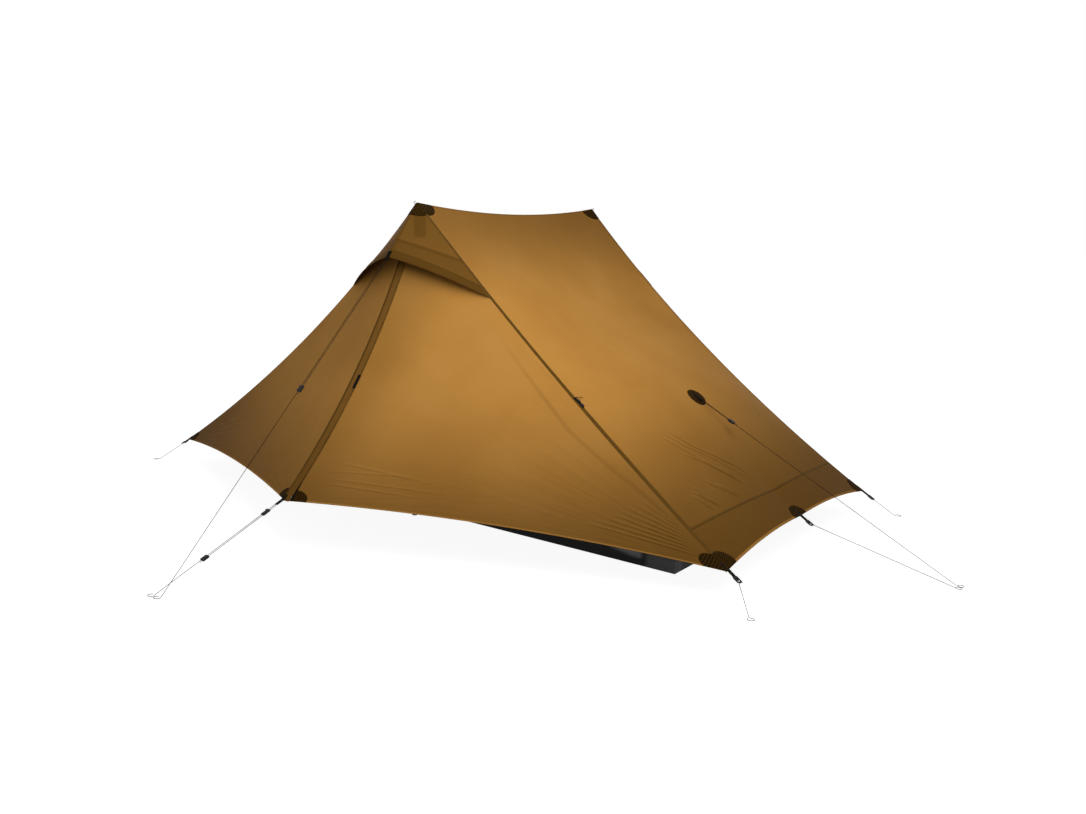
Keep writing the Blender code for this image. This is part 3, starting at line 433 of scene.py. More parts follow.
@dataclass(frozen=True)
class Slack:
    """Wrinkles of one panel: broad slack, tension folds, and the pucker along its sewn edges.

    Attributes:
        width: About how wide the panel is, for distances to its sides.
        length: About how long it is.
        fans: Its tension folds.
        creases: Its single creases.
        waves: Height of the broad slack.
        pucker: Height of the pucker along the edges.
        seed: Which of the random draws it uses.
    """

    width: float
    length: float
    fans: tuple[Fan, ...]
    creases: tuple[Crease, ...]
    waves: float
    pucker: float
    seed: float

    def __call__(self, across: float, down: float, point: Vector) -> float:
        """Height of the wrinkles at a place.

        Args:
            across: Share across the panel.
            down: Share down it.
            point: The place on its smooth surface.

        Returns:
            The height.
        """
        side = min(across, 1 - across) * self.width
        end = min(down, 1 - down) * self.length
        edge = min(side, end)
        broad = noise.noise(point * 5 + ALONG * self.seed) + 0.5 * noise.noise(point * 11 + ACROSS * self.seed)
        total = self.waves * broad * ease(edge, 0, 0.15)
        total += sum(fan.lift(point) for fan in self.fans) * ease(edge, 0.004, 0.03)
        total += sum(crease.lift(across, down, self.width, self.length) for crease in self.creases)
        run = down * self.length if side < end else across * self.width
        ripple = noise.noise(Vector((run / 0.021, self.seed, edge / 0.09)))
        return total + self.pucker * ripple * ease(edge, 0.002, 0.012) * (1 - ease(edge, 0.03, 0.09))

    def shade(self, across: float, down: float) -> float:
        """Painted shade on the creases' low sides, and painted highlight (less than nothing) on their upper sides."""
        step = 2.5 * MM
        below, above = (sum(crease.lift(across, down + way * step / self.length, self.width, self.length)
                            for crease in self.creases) for way in (1, -1))
        return min(max((above - below) / step * 0.22, -0.16), 0.16)


@dataclass(frozen=True)
class Cloth:
    """A panel as it hangs: the smooth surface that it was cut to, and the wrinkles on it.

    Attributes:
        surface: The smooth surface.
        facing: A direction on the panel's outer side.
        relief: Height of the wrinkles.
        rise: How far the panel's outer face lies outside the smooth surface.
    """

    surface: Surface
    facing: Vector
    relief: Relief
    rise: float = 0.0

    def at(self, across: float, down: float, lift: float = 0.0) -> Vector:
        """Point on the panel's outer face.

        Args:
            across: Share across the panel.
            down: Share down it.
            lift: How far off the face the point lies.

        Returns:
            The point.
        """
        step = 2 * MM
        left, right = max(across - step, 0.0), min(across + step, 1.0)
        top, low = max(down - step, 0.0), min(down + step, 1.0)
        base = self.surface(across, down)
        normal = (self.surface(right, down) - self.surface(left, down)).cross(
            self.surface(across, low) - self.surface(across, top))
        if normal.length_squared < 1e-16:
            normal = self.facing.copy()
        normal.normalize()
        if normal.dot(self.facing) < 0:
            normal.negate()
        return base + normal * (self.rise + lift + self.relief(across, down, base))


# -------------------- making meshes


def link(name: str, data: bpy.types.ID) -> Object:
    """Object of a mesh, curve, lamp or camera, in the scene."""
    made = bpy.data.objects.new(name, data)
    bpy.context.scene.collection.objects.link(made)
    return made


def deselect() -> None:
    """Select nothing."""
    bpy.ops.object.select_all(action="DESELECT")


def activate(piece: Object) -> None:
    """Select one object only, and make it the active one."""
    deselect()
    piece.select_set(True)
    bpy.context.view_layer.objects.active = piece


def apply_all(piece: Object) -> None:
    """Apply an object's modifiers in order."""
    activate(piece)
    for modifier in list(piece.modifiers):
        bpy.ops.object.modifier_apply(modifier=modifier.name)


def soften(piece: Object, edge: float, segments: int) -> None:
    """Round an object's edges, after its other modifiers."""
    rounding = piece.modifiers.new("edges", "BEVEL")
    rounding.width = edge
    rounding.segments = segments
    rounding.limit_method = "ANGLE"
    apply_all(piece)


def settle(piece: Object, smooth_below: float = 40.0) -> Object:
    """Move an object's place into its mesh, and shade it smooth below an angle in degrees."""
    activate(piece)
    bpy.ops.object.transform_apply(location=True, rotation=True, scale=True)
    bpy.ops.object.shade_smooth_by_angle(angle=math.radians(smooth_below), keep_sharp_edges=True)
    deselect()
    return piece


def thicken(piece: Object, thickness: float) -> None:
    """Give an open sheet its thickness, on its inner side."""
    wall = piece.modifiers.new("thickness", "SOLIDIFY")
    wall.thickness = thickness
    wall.offset = -1
    wall.use_even_offset = False
    apply_all(piece)


def grid_mesh(name: str, rows: Sequence[Sequence[Vector]], facing: Vector,
              places: Sequence[Sequence[tuple[float, float]]], closed: bool = False) -> Object:
    """Sheet through rows of points, with its UV map in metres.

    Args:
        name: The object's name.
        rows: The points, row by row.
        facing: A direction on the sheet's outer side.
        places: The UV place of each point.
        closed: Whether the last column joins the first.

    Returns:
        The sheet, as an open mesh.
    """
    count = len(rows[0])
    points = [point for row in rows for point in row]
    flat_places = [place for row in places for place in row]
    faces = []
    for i in range(len(rows) - 1):
        for k in range(count if closed else count - 1):
            after = (k + 1) % count
            faces.append((i * count + k, i * count + after, (i + 1) * count + after, (i + 1) * count + k))
    mesh = bpy.data.meshes.new(name)
    mesh.from_pydata(points, [], faces)
    mesh.update()
    total = Vector((0, 0, 0))
    for polygon in mesh.polygons:
        total += polygon.normal * polygon.area
    if total.dot(facing) < 0:
        mesh.flip_normals()
    layer = mesh.uv_layers.new(name="UVMap")
    for loop in mesh.loops:
        layer.data[loop.index].uv = flat_places[loop.vertex_index]
    return link(name, mesh)


def sheet(name: str, cloth: Cloth, columns: Sequence[float], lines: Sequence[float], size: tuple[float, float],
          thickness: float) -> Object:
    """Panel of cloth, from its shares across and down.

    Args:
        name: The object's name.
        cloth: The panel as it hangs.
        columns: Shares across it.
        lines: Shares down it.
        size: Its width and length in metres, for the weave.
        thickness: The cloth's thickness.

    Returns:
        The finished panel.
    """
    rows = [[cloth.at(across, down) for across in columns] for down in lines]
    places = [[(across * size[0], down * size[1]) for across in columns] for down in lines]
    piece = grid_mesh(name, rows, cloth.facing, places)
    piece.data.shade_smooth()
    thicken(piece, thickness)
    return piece


def ribbon(name: str, rails: Sequence[Rail], count: int, facing: Vector, thickness: float) -> Object:
    """Strip of cloth or tape through rails that run beside each other.

    Args:
        name: The object's name.
        rails: The strip's lines from one side to the other, each a point for a share along it.
        count: Steps along it.
        facing: A direction on its outer side.
        thickness: Its thickness.

    Returns:
        The finished strip.
    """
    rows = [[rail(t) for rail in rails] for t in shares(count)]
    travelled = distances([row[0] for row in rows])
    places = [[(gone, far) for gone in distances(row)] for row, far in zip(rows, travelled)]
    piece = grid_mesh(name, rows, facing, places)
    thicken(piece, thickness)
    piece.data.shade_smooth()
    return settle(piece)


def tube(name: str, route: Sequence[Vector], radius: float, sides: int) -> Object:
    """Closed round tube along a route, with its UV map in metres.

    Args:
        name: The object's name.
        route: The points of its middle line.
        radius: Its radius.
        sides: Its sides.

    Returns:
        The tube.
    """
    bm = bmesh.new()
    normal = (route[1] - route[0]).orthogonal().normalized()
    rings = []
    for i, point in enumerate(route):
        ahead = route[min(i + 1, len(route) - 1)] - route[max(i - 1, 0)]
        ahead.normalize()
        normal = (normal - ahead * normal.dot(ahead)).normalized()
        side = ahead.cross(normal)
        turns = [2 * math.pi * k / sides for k in range(sides)]
        rings.append([bm.verts.new(point + (normal * math.cos(a) + side * math.sin(a)) * radius) for a in turns])
    for first, second in zip(rings, rings[1:]):
        for k in range(sides):
            bm.faces.new((first[k], first[(k + 1) % sides], second[(k + 1) % sides], second[k]))
    bm.faces.new(list(reversed(rings[0])))
    bm.faces.new(rings[-1])
    mesh = bpy.data.meshes.new(name)
    bm.to_mesh(mesh)
    bm.free()
    mesh.shade_smooth()
    return link(name, mesh)


def stitches(name: str, runs: Sequence[tuple[Rail, float]], facing: Vector,
             pitch: float = 5 * MM) -> Object:
    """Rows of lockstitch, each stitch a slim grain of thread half sunk in the cloth.

    Args:
        name: The object's name.
        runs: Each row's line and its length in metres.
        facing: A direction on the cloth's outer side.
        pitch: Distance from one stitch to the next.

    Returns:
        All the stitches as one object.
    """
    long, wide = pitch * 0.36, 0.35 * MM
    verts: list[Vector] = []
    faces: list[tuple[int, ...]] = []
    for rail, length in runs:
        count = max(1, round(length / pitch))
        for i in range(count):
            middle = rail((i + 0.5) / count)
            ahead = (rail((i + 0.6) / count) - rail((i + 0.4) / count)).normalized()
            up = (facing - ahead * facing.dot(ahead)).normalized()
            side = up.cross(ahead)
            base = len(verts)
            verts += [middle - ahead * long, middle + side * wide, middle + up * wide, middle - side * wide,
                      middle - up * wide, middle + ahead * long]
            ring = [base + 1, base + 2, base + 3, base + 4]
            for k in range(4):
                faces.append((base, ring[(k + 1) % 4], ring[k]))
                faces.append((base + 5, ring[k], ring[(k + 1) % 4]))
    mesh = bpy.data.meshes.new(name)
    mesh.from_pydata(verts, [], faces)
    mesh.update()
    return link(name, mesh)


def paint(piece: Object, name: str, value: Shade) -> None:
    """Store a number for each point of a piece, for its material to read."""
    layer = piece.data.attributes.new(name, "FLOAT", "POINT")
    layer.data.foreach_set("value", [value(vertex.co) for vertex in piece.data.vertices])


def block(name: str, place: Matrix, size: tuple[float, float, float], middle: tuple[float, float, float],
          edge: float) -> Object:
    """Box with rounded edges, at a place in a frame.

    Args:
        name: The object's name.
        place: The frame that it is made in.
        size: Its length, width and height in that frame.
        middle: Its middle in that frame.
        edge: Radius of its edges.

    Returns:
        The block, its place in its mesh.
    """
    deselect()
    bpy.ops.mesh.primitive_cube_add(size=1, location=(0, 0, 0))
    piece = bpy.context.active_object
    piece.name = piece.data.name = name
    piece.scale = size
    bpy.ops.object.transform_apply(location=False, rotation=False, scale=True)
    soften(piece, edge, 3)
    piece.matrix_world = place @ Matrix.Translation(middle)
    return settle(piece)


# -------------------- finishes


def linear(hexed: str) -> tuple[float, float, float, float]:
    """Linear colour of an sRGB hex value."""
    channels = [int(hexed[i:i + 2], 16) / 255 for i in (1, 3, 5)]
    values = [c / 12.92 if c <= 0.04045 else ((c + 0.055) / 1.055) ** 2.4 for c in channels]
    return values[0], values[1], values[2], 1.0


class Map(Enum):
    """Coordinates that a pattern follows."""

    OBJECT = "Object"
    UV = "UV"


class Tree:
    """Node tree of one material or world, built a node at a time."""

    def __init__(self, owner: Material | bpy.types.World, shader: str = "Principled BSDF") -> None:
        """Start at the shader of a material or world."""
        owner.use_nodes = True
        self.owner = owner
        self.nodes, self.links = owner.node_tree.nodes, owner.node_tree.links
        self.shader = self.nodes[shader]

    def feed(self, node: bpy.types.Node, inputs: Feeds) -> None:
        """Set a node's inputs, each to a number or colour, or to the output that feeds it."""
        for key, value in inputs.items():
            if isinstance(value, Socket):
                self.links.new(value, node.inputs[key])
            else:
                node.inputs[key].default_value = value

    def add(self, kind: str, inputs: Feeds | None = None, **settings: object) -> bpy.types.Node:
        """Add a node.

        Args:
            kind: Its type, without the ShaderNode prefix.
            inputs: What feeds its inputs.
            **settings: The node's own settings.

        Returns:
            The node.
        """
        node = self.nodes.new("ShaderNode" + kind)
        for key, value in settings.items():
            setattr(node, key, value)
        self.feed(node, inputs or {})
        return node

    def coordinates(self, kind: Map) -> Socket:
        """Coordinates that a pattern follows."""
        return self.add("TexCoord").outputs[kind.value]

    def noise(self, place: Socket, scale: float, detail: float) -> Socket:
        """Noise over coordinates."""
        return self.add("TexNoise", {"Vector": place, "Scale": scale, "Detail": detail}).outputs["Fac"]

    def weave(self, place: Socket, thread: float, twist: float = 0.0, power: float = 1.0) -> Socket:
        """Height of threads that run both ways.

        Args:
            place: The coordinates that they follow.
            thread: Their spacing.
            twist: Turn of the weave, in degrees.
            power: How much thinner than a sine wave they are.

        Returns:
            Its output, from 0 between the threads to 1 on them.
        """
        turned = self.add("Mapping", {"Vector": place, "Rotation": (0, 0, math.radians(twist))}).outputs["Vector"]
        lines = []
        for way in ("X", "Y"):
            wave = self.add("TexWave", {"Vector": turned, "Scale": WAVE / thread}, bands_direction=way)
            lines.append(self.math("POWER", wave.outputs["Fac"], power))
        return self.math("MAXIMUM", *lines)

    def between(self, factor: Socket, low: float, high: float, start: float = 0.0, end: float = 1.0) -> Socket:
        """Value that goes from low to high as a factor goes from start to end."""
        feeds: Feeds = {"Value": factor, "From Min": start, "From Max": end, "To Min": low, "To Max": high}
        return self.add("MapRange", feeds).outputs["Result"]

    def mix(self, factor: Socket, first: object, second: object) -> Socket:
        """Colour between two colours or outputs."""
        return self.add("Mix", {"Factor": factor, 6: first, 7: second}, data_type="RGBA").outputs[2]

    def ramp(self, factor: Socket, stops: Sequence[tuple[float, str]]) -> Socket:
        """Colour ramp that follows a factor through places with hex colours."""
        node = self.add("ValToRGB", {"Fac": factor})
        elements = node.color_ramp.elements
        while len(elements) < len(stops):
            elements.new(0.5)
        for element, (place, colour) in zip(elements, stops):
            element.position = place
            element.color = linear(colour)
        return node.outputs["Color"]

    def bump(self, height: Socket, distance: float, strength: float, under: Socket | None = None) -> Socket:
        """Bump from a height.

        Args:
            height: The height's output.
            distance: What a height of one stands for, in metres.
            strength: How strongly it shows.
            under: The normal of another bump under this one.

        Returns:
            Its normal output.
        """
        feeds: Feeds = {"Height": height, "Distance": distance, "Strength": strength}
        if under is not None:
            feeds["Normal"] = under
        return self.add("Bump", feeds).outputs["Normal"]

    def math(self, operation: str, *values: object) -> Socket:
        """Result of a maths node on numbers or outputs."""
        return self.add("Math", dict(enumerate(values)), operation=operation).outputs["Value"]

    def finish(self, colour: Socket, normal: Socket, roughness: object, more: Feeds) -> Material:
        """Material whose shader has these inputs."""
        self.feed(self.shader, {"Base Color": colour, "Normal": normal, "Roughness": roughness, **more})
        return self.owner


@dataclass(frozen=True)
class CoatedNylon:
    """Silicone-coated ripstop nylon, a thin tight weave with a thicker thread every few millimetres.

    The coating gives it a soft satin sheen. A painted attribute mixes its colour towards a darker one where
    two or more plies lie together, and as painted shade near the ground, the corners and the peaks.

    Attributes:
        name: The material's name.
        face: Colour of the single cloth.
        double_and_shade: Colour where two or more plies lie together, and of the painted shade.
        square: Spacing of the ripstop threads, drawn at twice the real 3 mm so that it shows.
        roughness: Roughness of the coating.
    """

    name: str = "silicone-coated ripstop nylon"
    face: str = "#c18a41"
    double_and_shade: str = "#5f4117"
    square: float = 6 * MM
    roughness: float = 0.52

    def make(self) -> Material:
        """Build the material."""
        tree = Tree(bpy.data.materials.new(self.name))
        uv = tree.coordinates(Map.UV)
        threads = tree.weave(uv, self.square, 2.0, 12.0)
        mottle = tree.noise(tree.coordinates(Map.OBJECT), 3.2, 3.0)
        tone = tree.ramp(mottle, [(0.3, "#bb843d"), (0.5, self.face), (0.72, "#c79048")])
        gridded = tree.mix(tree.math("MULTIPLY", threads, 0.10), tone, linear("#8f632b"))
        # Painted share of the darker colour: plies of cloth together, and painted shade
        layers = tree.add("Attribute", attribute_name="layers").outputs["Fac"]
        grain = tree.bump(tree.noise(uv, 900.0, 1.0), 0.15 * MM, 0.25)
        return tree.finish(tree.mix(layers, gridded, linear(self.double_and_shade)), tree.bump(threads, 0.2 * MM, 0.35, grain),
                           tree.between(mottle, self.roughness - 0.06, self.roughness + 0.08),
                           {"Specular IOR Level": 0.01})


@dataclass(frozen=True)
class Woven:
    """Plain or ribbed woven goods: reinforcing cloth, webbing, mesh floor cloth or braided cord.

    Attributes:
        name: The material's name.
        dark: Colour between the threads.
        light: Colour of the threads.
        thread: Spacing of the threads.
        contrast: How far the threads' colour shows.
        depth: Height of the threads.
        roughness: Roughness.
        twist: Turn of the weave, in degrees.
        coordinates: What the weave follows.
        gloss: Specular level.
        facet: Colour of the painted highlight on the parts that catch the light, or nothing.
    """

    name: str
    dark: str
    light: str
    thread: float
    contrast: float = 1.0
    depth: float = 0.3 * MM
    roughness: float = 0.75
    twist: float = 0.0
    coordinates: Map = Map.UV
    gloss: float = 0.03
    facet: str = ""

    def make(self) -> Material:
        """Build the material."""
        tree = Tree(bpy.data.materials.new(self.name))
        threads = tree.weave(tree.coordinates(self.coordinates), self.thread, self.twist, 3.0)
        wear = tree.noise(tree.coordinates(Map.OBJECT), 24.0, 4.0)
        share = tree.math("MULTIPLY", threads, tree.math("MULTIPLY_ADD", wear, 0.6, self.contrast - 0.3))
        colour = tree.ramp(share, [(0.0, self.dark), (1.0, self.light)])
        # Painted highlight where the piece's walls catch the light
        if self.facet:
            lit = tree.add("Attribute", attribute_name="facet").outputs["Fac"]
            colour = tree.mix(lit, colour, linear(self.facet))
        return tree.finish(colour, tree.bump(threads, self.depth, 0.7),
                           tree.between(wear, self.roughness - 0.08, self.roughness + 0.08),
                           {"Specular IOR Level": self.gloss})


@dataclass(frozen=True)
class Net:
    """Fine polyester insect net, mostly holes: its threads are drawn 2 mm apart so that they show.

    Attributes:
        name: The material's name.
        colour: Colour of the threads.
        thread: Spacing of the threads.
        cover: Least share of the cloth that is thread.
    """

    name: str = "polyester insect net"
    colour: str = "#232323"
    thread: float = 2 * MM
    cover: float = 0.35

    def make(self) -> Material:
        """Build the material."""
        tree = Tree(bpy.data.materials.new(self.name))
        threads = tree.weave(tree.coordinates(Map.UV), self.thread)
        tone = tree.noise(tree.coordinates(Map.OBJECT), 9.0, 2.0)
        return tree.finish(tree.ramp(tone, [(0.3, self.colour), (0.8, "#333333")]), tree.bump(threads, 0.2 * MM, 0.5),
                           0.8, {"Alpha": tree.between(threads, self.cover, 0.95, 0.4, 0.9)})


@dataclass(frozen=True)
class Moulded:
    """Moulded plastic or foam: an even colour with a fine spark-eroded or cellular grain.

    Attributes:
        name: The material's name.
        dark: Colour in the grain's hollows.
        light: Colour on its crests and worn edges.
        grain: Size of the grain.
        depth: Height of the grain.
        roughness: Roughness.
    """

    name: str
    dark: str
    light: str
    grain: float
    depth: float
    roughness: float

    def make(self) -> Material:
        """Build the material."""
        tree = Tree(bpy.data.materials.new(self.name))
        place = tree.coordinates(Map.OBJECT)
        grain, scuff = tree.noise(place, 1 / self.grain, 2.0), tree.noise(place, 70.0, 5.0)
        edges = tree.math("GREATER_THAN", tree.add("NewGeometry").outputs["Pointiness"], 0.53)
        share = tree.math("MULTIPLY_ADD", grain, 0.35, tree.math("MULTIPLY", edges, scuff))
        return tree.finish(tree.ramp(share, [(0.1, self.dark), (0.9, self.light)]), tree.bump(grain, self.depth, 0.5),
                           tree.between(scuff, self.roughness - 0.08, self.roughness + 0.12),
                           {"Specular IOR Level": 0.09})


@dataclass(frozen=True)
class Anodised:
    """Anodised aluminium tube: a dark oxide layer over drawn metal, with faint lines along it.

    Attributes:
        name: The material's name.
        colour: The oxide's colour.
        bare: Colour where the oxide is rubbed thin.
        roughness: Roughness.
    """

    name: str = "anodised aluminium tube"
    colour: str = "#3b3e43"
    bare: str = "#7d8188"
    roughness: float = 0.32

    def make(self) -> Material:
        """Build the material."""
        tree = Tree(bpy.data.materials.new(self.name))
        place = tree.coordinates(Map.OBJECT)
        drawn = tree.add("Mapping", {"Vector": place, "Scale": (900.0, 900.0, 6.0)}).outputs["Vector"]
        streaks, rubs = tree.noise(drawn, 1.0, 3.0), tree.noise(place, 30.0, 6.0)
        colour = tree.ramp(tree.math("MULTIPLY", streaks, rubs), [(0.2, self.colour), (0.75, self.bare)])
        return tree.finish(colour, tree.bump(streaks, 0.03 * MM, 0.4),
                           tree.between(rubs, self.roughness - 0.08, self.roughness + 0.14), {"Metallic": 1.0})


@dataclass
class Finishes:
    """Every finish of the tent, each made once."""

    nylon: Material = field(default_factory=CoatedNylon().make)
    doubled: Material = field(default_factory=Woven(
        "folded seam in ripstop nylon", "#4b310c", "#70501c", 3 * MM, depth=0.15 * MM, roughness=0.6).make)
    ripstop: Material = field(default_factory=Woven(
        "black gridded reinforcing ripstop", "#0a0501", "#4a3312", 9 * MM, 0.9, 0.3 * MM, 0.7, 45.0, gloss=0.01).make)
    webbing: Material = field(default_factory=Woven(
        "ribbed polyester webbing", "#070707", "#1b1b1a", 2.4 * MM, 0.9, 0.5 * MM, 0.8).make)
    cord: Material = field(default_factory=Woven(
        "braided guyline", "#14120e", "#302b22", 3 * MM, coordinates=Map.OBJECT).make)
    # The tub's lighter grey is a painted highlight on its slack walls
    tub: Material = field(default_factory=Woven(
        "polyurethane-coated floor nylon", "#232324", "#3e3e40", 5 * MM, 0.6, 0.1 * MM, 0.55, gloss=0.1,
        facet="#cfcfd3").make)
    net: Material = field(default_factory=Net().make)
    plastic: Material = field(default_factory=Moulded(
        "moulded acetal", "#0b0b0b", "#2c2c2c", 0.6 * MM, 0.05 * MM, 0.45).make)
    foam: Material = field(default_factory=Moulded(
        "moulded EVA foam", "#141414", "#383838", 1.6 * MM, 0.35 * MM, 0.85).make)
    tube: Material = field(default_factory=Anodised().make)
    thread: Material = field(default_factory=Moulded(
        "bonded polyester thread", "#4d3719", "#8a652f", 0.5 * MM, 0.1 * MM, 0.7).make)


class Dress(Enum):
    """How a piece is dressed: its finish, and its material slot of the record."""

    NYLON = ("nylon", "fly_orange_silnylon")
    SEAM = ("doubled", "fly_orange_silnylon")
    THREAD = ("thread", "fly_orange_silnylon")
    RIPSTOP = ("ripstop", "dark_ripstop")
    WEBBING = ("webbing", "black_webbing")
    TACKS = ("thread", "black_webbing")
    TEETH = ("plastic", "black_webbing")
    CORD = ("cord", "grey_cord")
    LOOP = ("doubled", "grey_cord")
    PLASTIC = ("plastic", "black_plastic")
    NET = ("net", "inner_mesh")
    TUB = ("tub", "tub_nylon")


# -------------------- fitting pieces to bodies


SWAPS = {"near": "far", "far": "near", "right": "left", "left": "right"}


def turned_name(name: str) -> str:
    """Name of a piece's half-turn copy."""
    return "_".join(SWAPS.get(word, word) for word in name.split("_"))


@dataclass
class Fold:
    """Line that the opening leaf swings about, and the band of cloth that bends there."""

    fly: FlyShape
    before: float = 12 * MM
    after: float = 22 * MM

    def band(self) -> tuple[Vector, Vector]:
        """Points where the bend starts and ends."""
        top = self.fly.door(0, self.fly.fold_top_share, self.fly.flap_width + self.fly.gap)
        axis = (self.fly.corner - top).normalized()
        middle = top.lerp(self.fly.corner, 0.5)
        down = self.fly.door(0.5, 1) - middle
        down = (down - axis * down.dot(axis)).normalized()
        return middle - down * self.before, middle + down * self.after


@dataclass
class Fitter:
    """Puts each finished piece on its body, and makes its half-turn copy."""

    finishes: Finishes
    fold: Fold
    count: int = 0

    def fit(self, piece: Object, dress: Dress, body: str = "tent", stands_for: Sequence[str] = (),
            bends: bool = False, twin: bool = True, cut: tuple[float, float, float] | None = None,
            cord: dict[str, object] | None = None) -> None:
        """Dress a piece, put it on its body, and do the same for its half-turn copy.

        Args:
            piece: The piece, finished.
            dress: Its finish and slot.
            body: The body that it rides on.
            stands_for: The nodes that it replaces.
            bends: Whether it stays unattached, with its place baked into its mesh, instead of riding on its body.
            twin: Whether it has a half-turn copy.
            cut: For a sheet, its flat width, length and area; not used.
            cord: For a cord, its facts.
        """
        finish, slot = dress.value
        pieces = [(piece, str, Matrix())]
        if twin:
            copy = link(turned_name(piece.name), piece.data.copy())
            copy.data.name = copy.name
            copy.data.transform(HALF_TURN)
            pieces.append((copy, turned_name, HALF_TURN))
        for made, turn, move in pieces:
            made.data.materials.clear()
            made.data.materials.append(getattr(self.finishes, finish))
            if bends:
                start, end = (tuple(move @ point) for point in self.fold.band())
                turn("near_leaf")
                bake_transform(made)
            else:
                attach(made, turn(body))
            if stands_for:
                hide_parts(*[turn(node) for node in stands_for])
            if cord:
                with_pieces = [turn(name) for name in cord["with_pieces"]]
            self.count += 1
        log.info("%s on %s", ", ".join(made.name for made, _, _ in pieces), body)


# -------------------- the fly


@dataclass
class Fly:
    """Fly of the tent: its roof, doors, hoods and flaps, with their seams, hems and patches.

    Attributes:
        shape: Its pitched shape.
        fitter: What puts its pieces on their bodies.
        cloth: Thickness of the cloth.
        seam_width: Width of a felled seam.
        hem_width: Width of a folded hem.
        roof_size: About how wide and long the roof is.
        door_size: About how wide and long half a door is.
        band_share: Share down the roof of the band's seam at the sides.
        band_dip: How much lower it lies in the middle, as a share.
        hood_band: Depth of the hood's stiff hem, as a share.
        patch_lift: Height of a patch's outer face over its panel's.
        patch_rings: Rings of cells in a patch.
        ground_shade: How much painted shade darkens the cloth at the ground.
        peak_shade: How much painted shade darkens it over the inner tent's peaks.
        corner_shade: How much painted shade darkens it towards the corners.
    """

    shape: FlyShape
    fitter: Fitter
    cloth: float = 0.5 * MM
    seam_width: float = 15 * MM
    hem_width: float = 9 * MM
    roof_size: tuple[float, float] = (1.28, 1.83)
    door_size: tuple[float, float] = (1.10, 1.50)
    band_share: float = 0.899
    band_dip: float = 0.0195
    hood_band: float = 0.125
    patch_lift: float = 2.0 * MM
    patch_rings: int = 12
    ground_shade: float = 0.85
    peak_shade: float = 0.58
    corner_shade: float = 0.50
    roof: Cloth = field(init=False)
    opening: Cloth = field(init=False)
    pegged: Cloth = field(init=False)
    hood: Cloth = field(init=False)

    def __post_init__(self) -> None:
        """Hang the panels: their smooth surfaces, with the wrinkles that the pull gives each one."""
        shape = self.shape
        up_roof = Vector((0.6, 0, 0.8))
        roof_fans = (
            Fan(shape.corner, shape.roof(0.35, 0.5), up_roof, 0.75, 17, 1.4 * MM, 0.09, 0.6, 3.1),
            Fan(shape.far_corner, shape.roof(0.65, 0.5), up_roof, 0.75, 17, 2.0 * MM, 0.09, 0.75, 7.7),
            Fan(shape.peak, shape.roof(0.3, 0.5), up_roof, 0.6, 14, 1.2 * MM, 0.1, 0.7, 4.4),
            Fan(shape.far_peak, shape.roof(0.7, 0.5), up_roof, 0.6, 14, 1.6 * MM, 0.1, 0.7, 6.4),
        )
        runs = (
            (1.6, (0.364, 0.374), (0.41, 0.455), (0.47, 0.558)),
            (2.4, (0.150, 0.658), (0.242, 0.745), (0.338, 0.804), (0.462, 0.900)),
            (3.4, (0.176, 0.660), (0.278, 0.757), (0.412, 0.835), (0.474, 0.900)),
            (2.8, (0.144, 0.674), (0.242, 0.767), (0.335, 0.840), (0.407, 0.903)),
            (2.8, (0.180, 0.743), (0.280, 0.802), (0.393, 0.888)),
            (2.2, (0.202, 0.823), (0.304, 0.903)),
            (3.0, (0.240, 0.846), (0.312, 0.900)),
            (3.0, (0.135, 0.819), (0.184, 0.894)),
            (2.8, (0.114, 0.843), (0.154, 0.899)),
            (2.8, (0.128, 0.835), (0.191, 0.901)),
        )
        roof_creases = tuple(Crease(places, height * MM, 7.5 * MM) for height, *places in runs)
        self.roof = Cloth(shape.roof, UP, Slack(*self.roof_size, roof_fans, roof_creases, 2.2 * MM, 0.5 * MM, 1.7),
                          0.7 * MM)
        out = OUTWARD.normalized()
        stake = shape.vestibule
        open_fans = (
            Fan(shape.corner, shape.door(0.55, 0.75), out, 0.42, 26, 1.2 * MM, 0.10, 1.15, 8.2),
            Fan(stake, shape.door(0.55, 0.97), out, 0.34, 24, 1.2 * MM, 0.08, 0.95, 3.9),
            Fan(shape.corner, shape.seam(0.25), out, 0.05, 30, 2.4 * MM, 0.15, 1.3, 5.6),
        )
        to_corner = [((0.93 - 0.035 * k, 0.80 + 0.018 * k), (0.985, 0.885 + 0.012 * k)) for k in range(8)]
        to_stake = [((0.355, 0.879), (0.040, 0.829)), ((0.300, 0.858), (0.020, 0.874)), ((0.40, 0.912), (0.03, 0.90)),
                    ((0.330, 0.938), (0.025, 0.919))]
        door_creases = tuple(Crease(places, height * MM, 8 * MM)
                             for height, group in ((2.0, to_corner), (1.2, to_stake)) for places in group)
        self.opening = Cloth(shape.opening_half, OUTWARD,
                             Slack(*self.door_size, open_fans, door_creases, 2.2 * MM, 0.5 * MM, 5.3))
        left = mirrored(shape.corner)
        peg_fans = (
            Fan(left, mirrored(shape.door(0.5, 0.75)), out, 0.42, 22, 0.9 * MM, 0.10, 1.0, 4.5),
            Fan(stake, mirrored(shape.door(0.5, 0.85)), out, 0.5, 18, 0.7 * MM, 0.08, 0.7, 6.7),
        )
        self.pegged = Cloth(shape.pegged_half, OUTWARD, Slack(*self.door_size, peg_fans, (), 2.2 * MM, 0.5 * MM, 9.1))
        self.hood = Cloth(shape.hood, OUTWARD, Slack(0.5, 0.3, (), (), 0.8 * MM, 0.3 * MM, 2.9), 0.7 * MM)

    def build(self) -> None:
        """Make every piece of the fly."""
        self.panels()
        self.seams()
        self.hems()
        self.zips()
        self.patches()
        self.peak_caps()
        self.stitching()

    @staticmethod
    def cells(length: float, *stretches: tuple[float, float]) -> list[float]:
        """Shares along a length, with cells of another size in millimetres up to each stretch's end."""
        places, start = [0.0], 0.0
        for end, cell in stretches:
            places += shares(max(1, round((end - start) * length / (cell * MM))), start, end)[1:]
            start = end
        return places

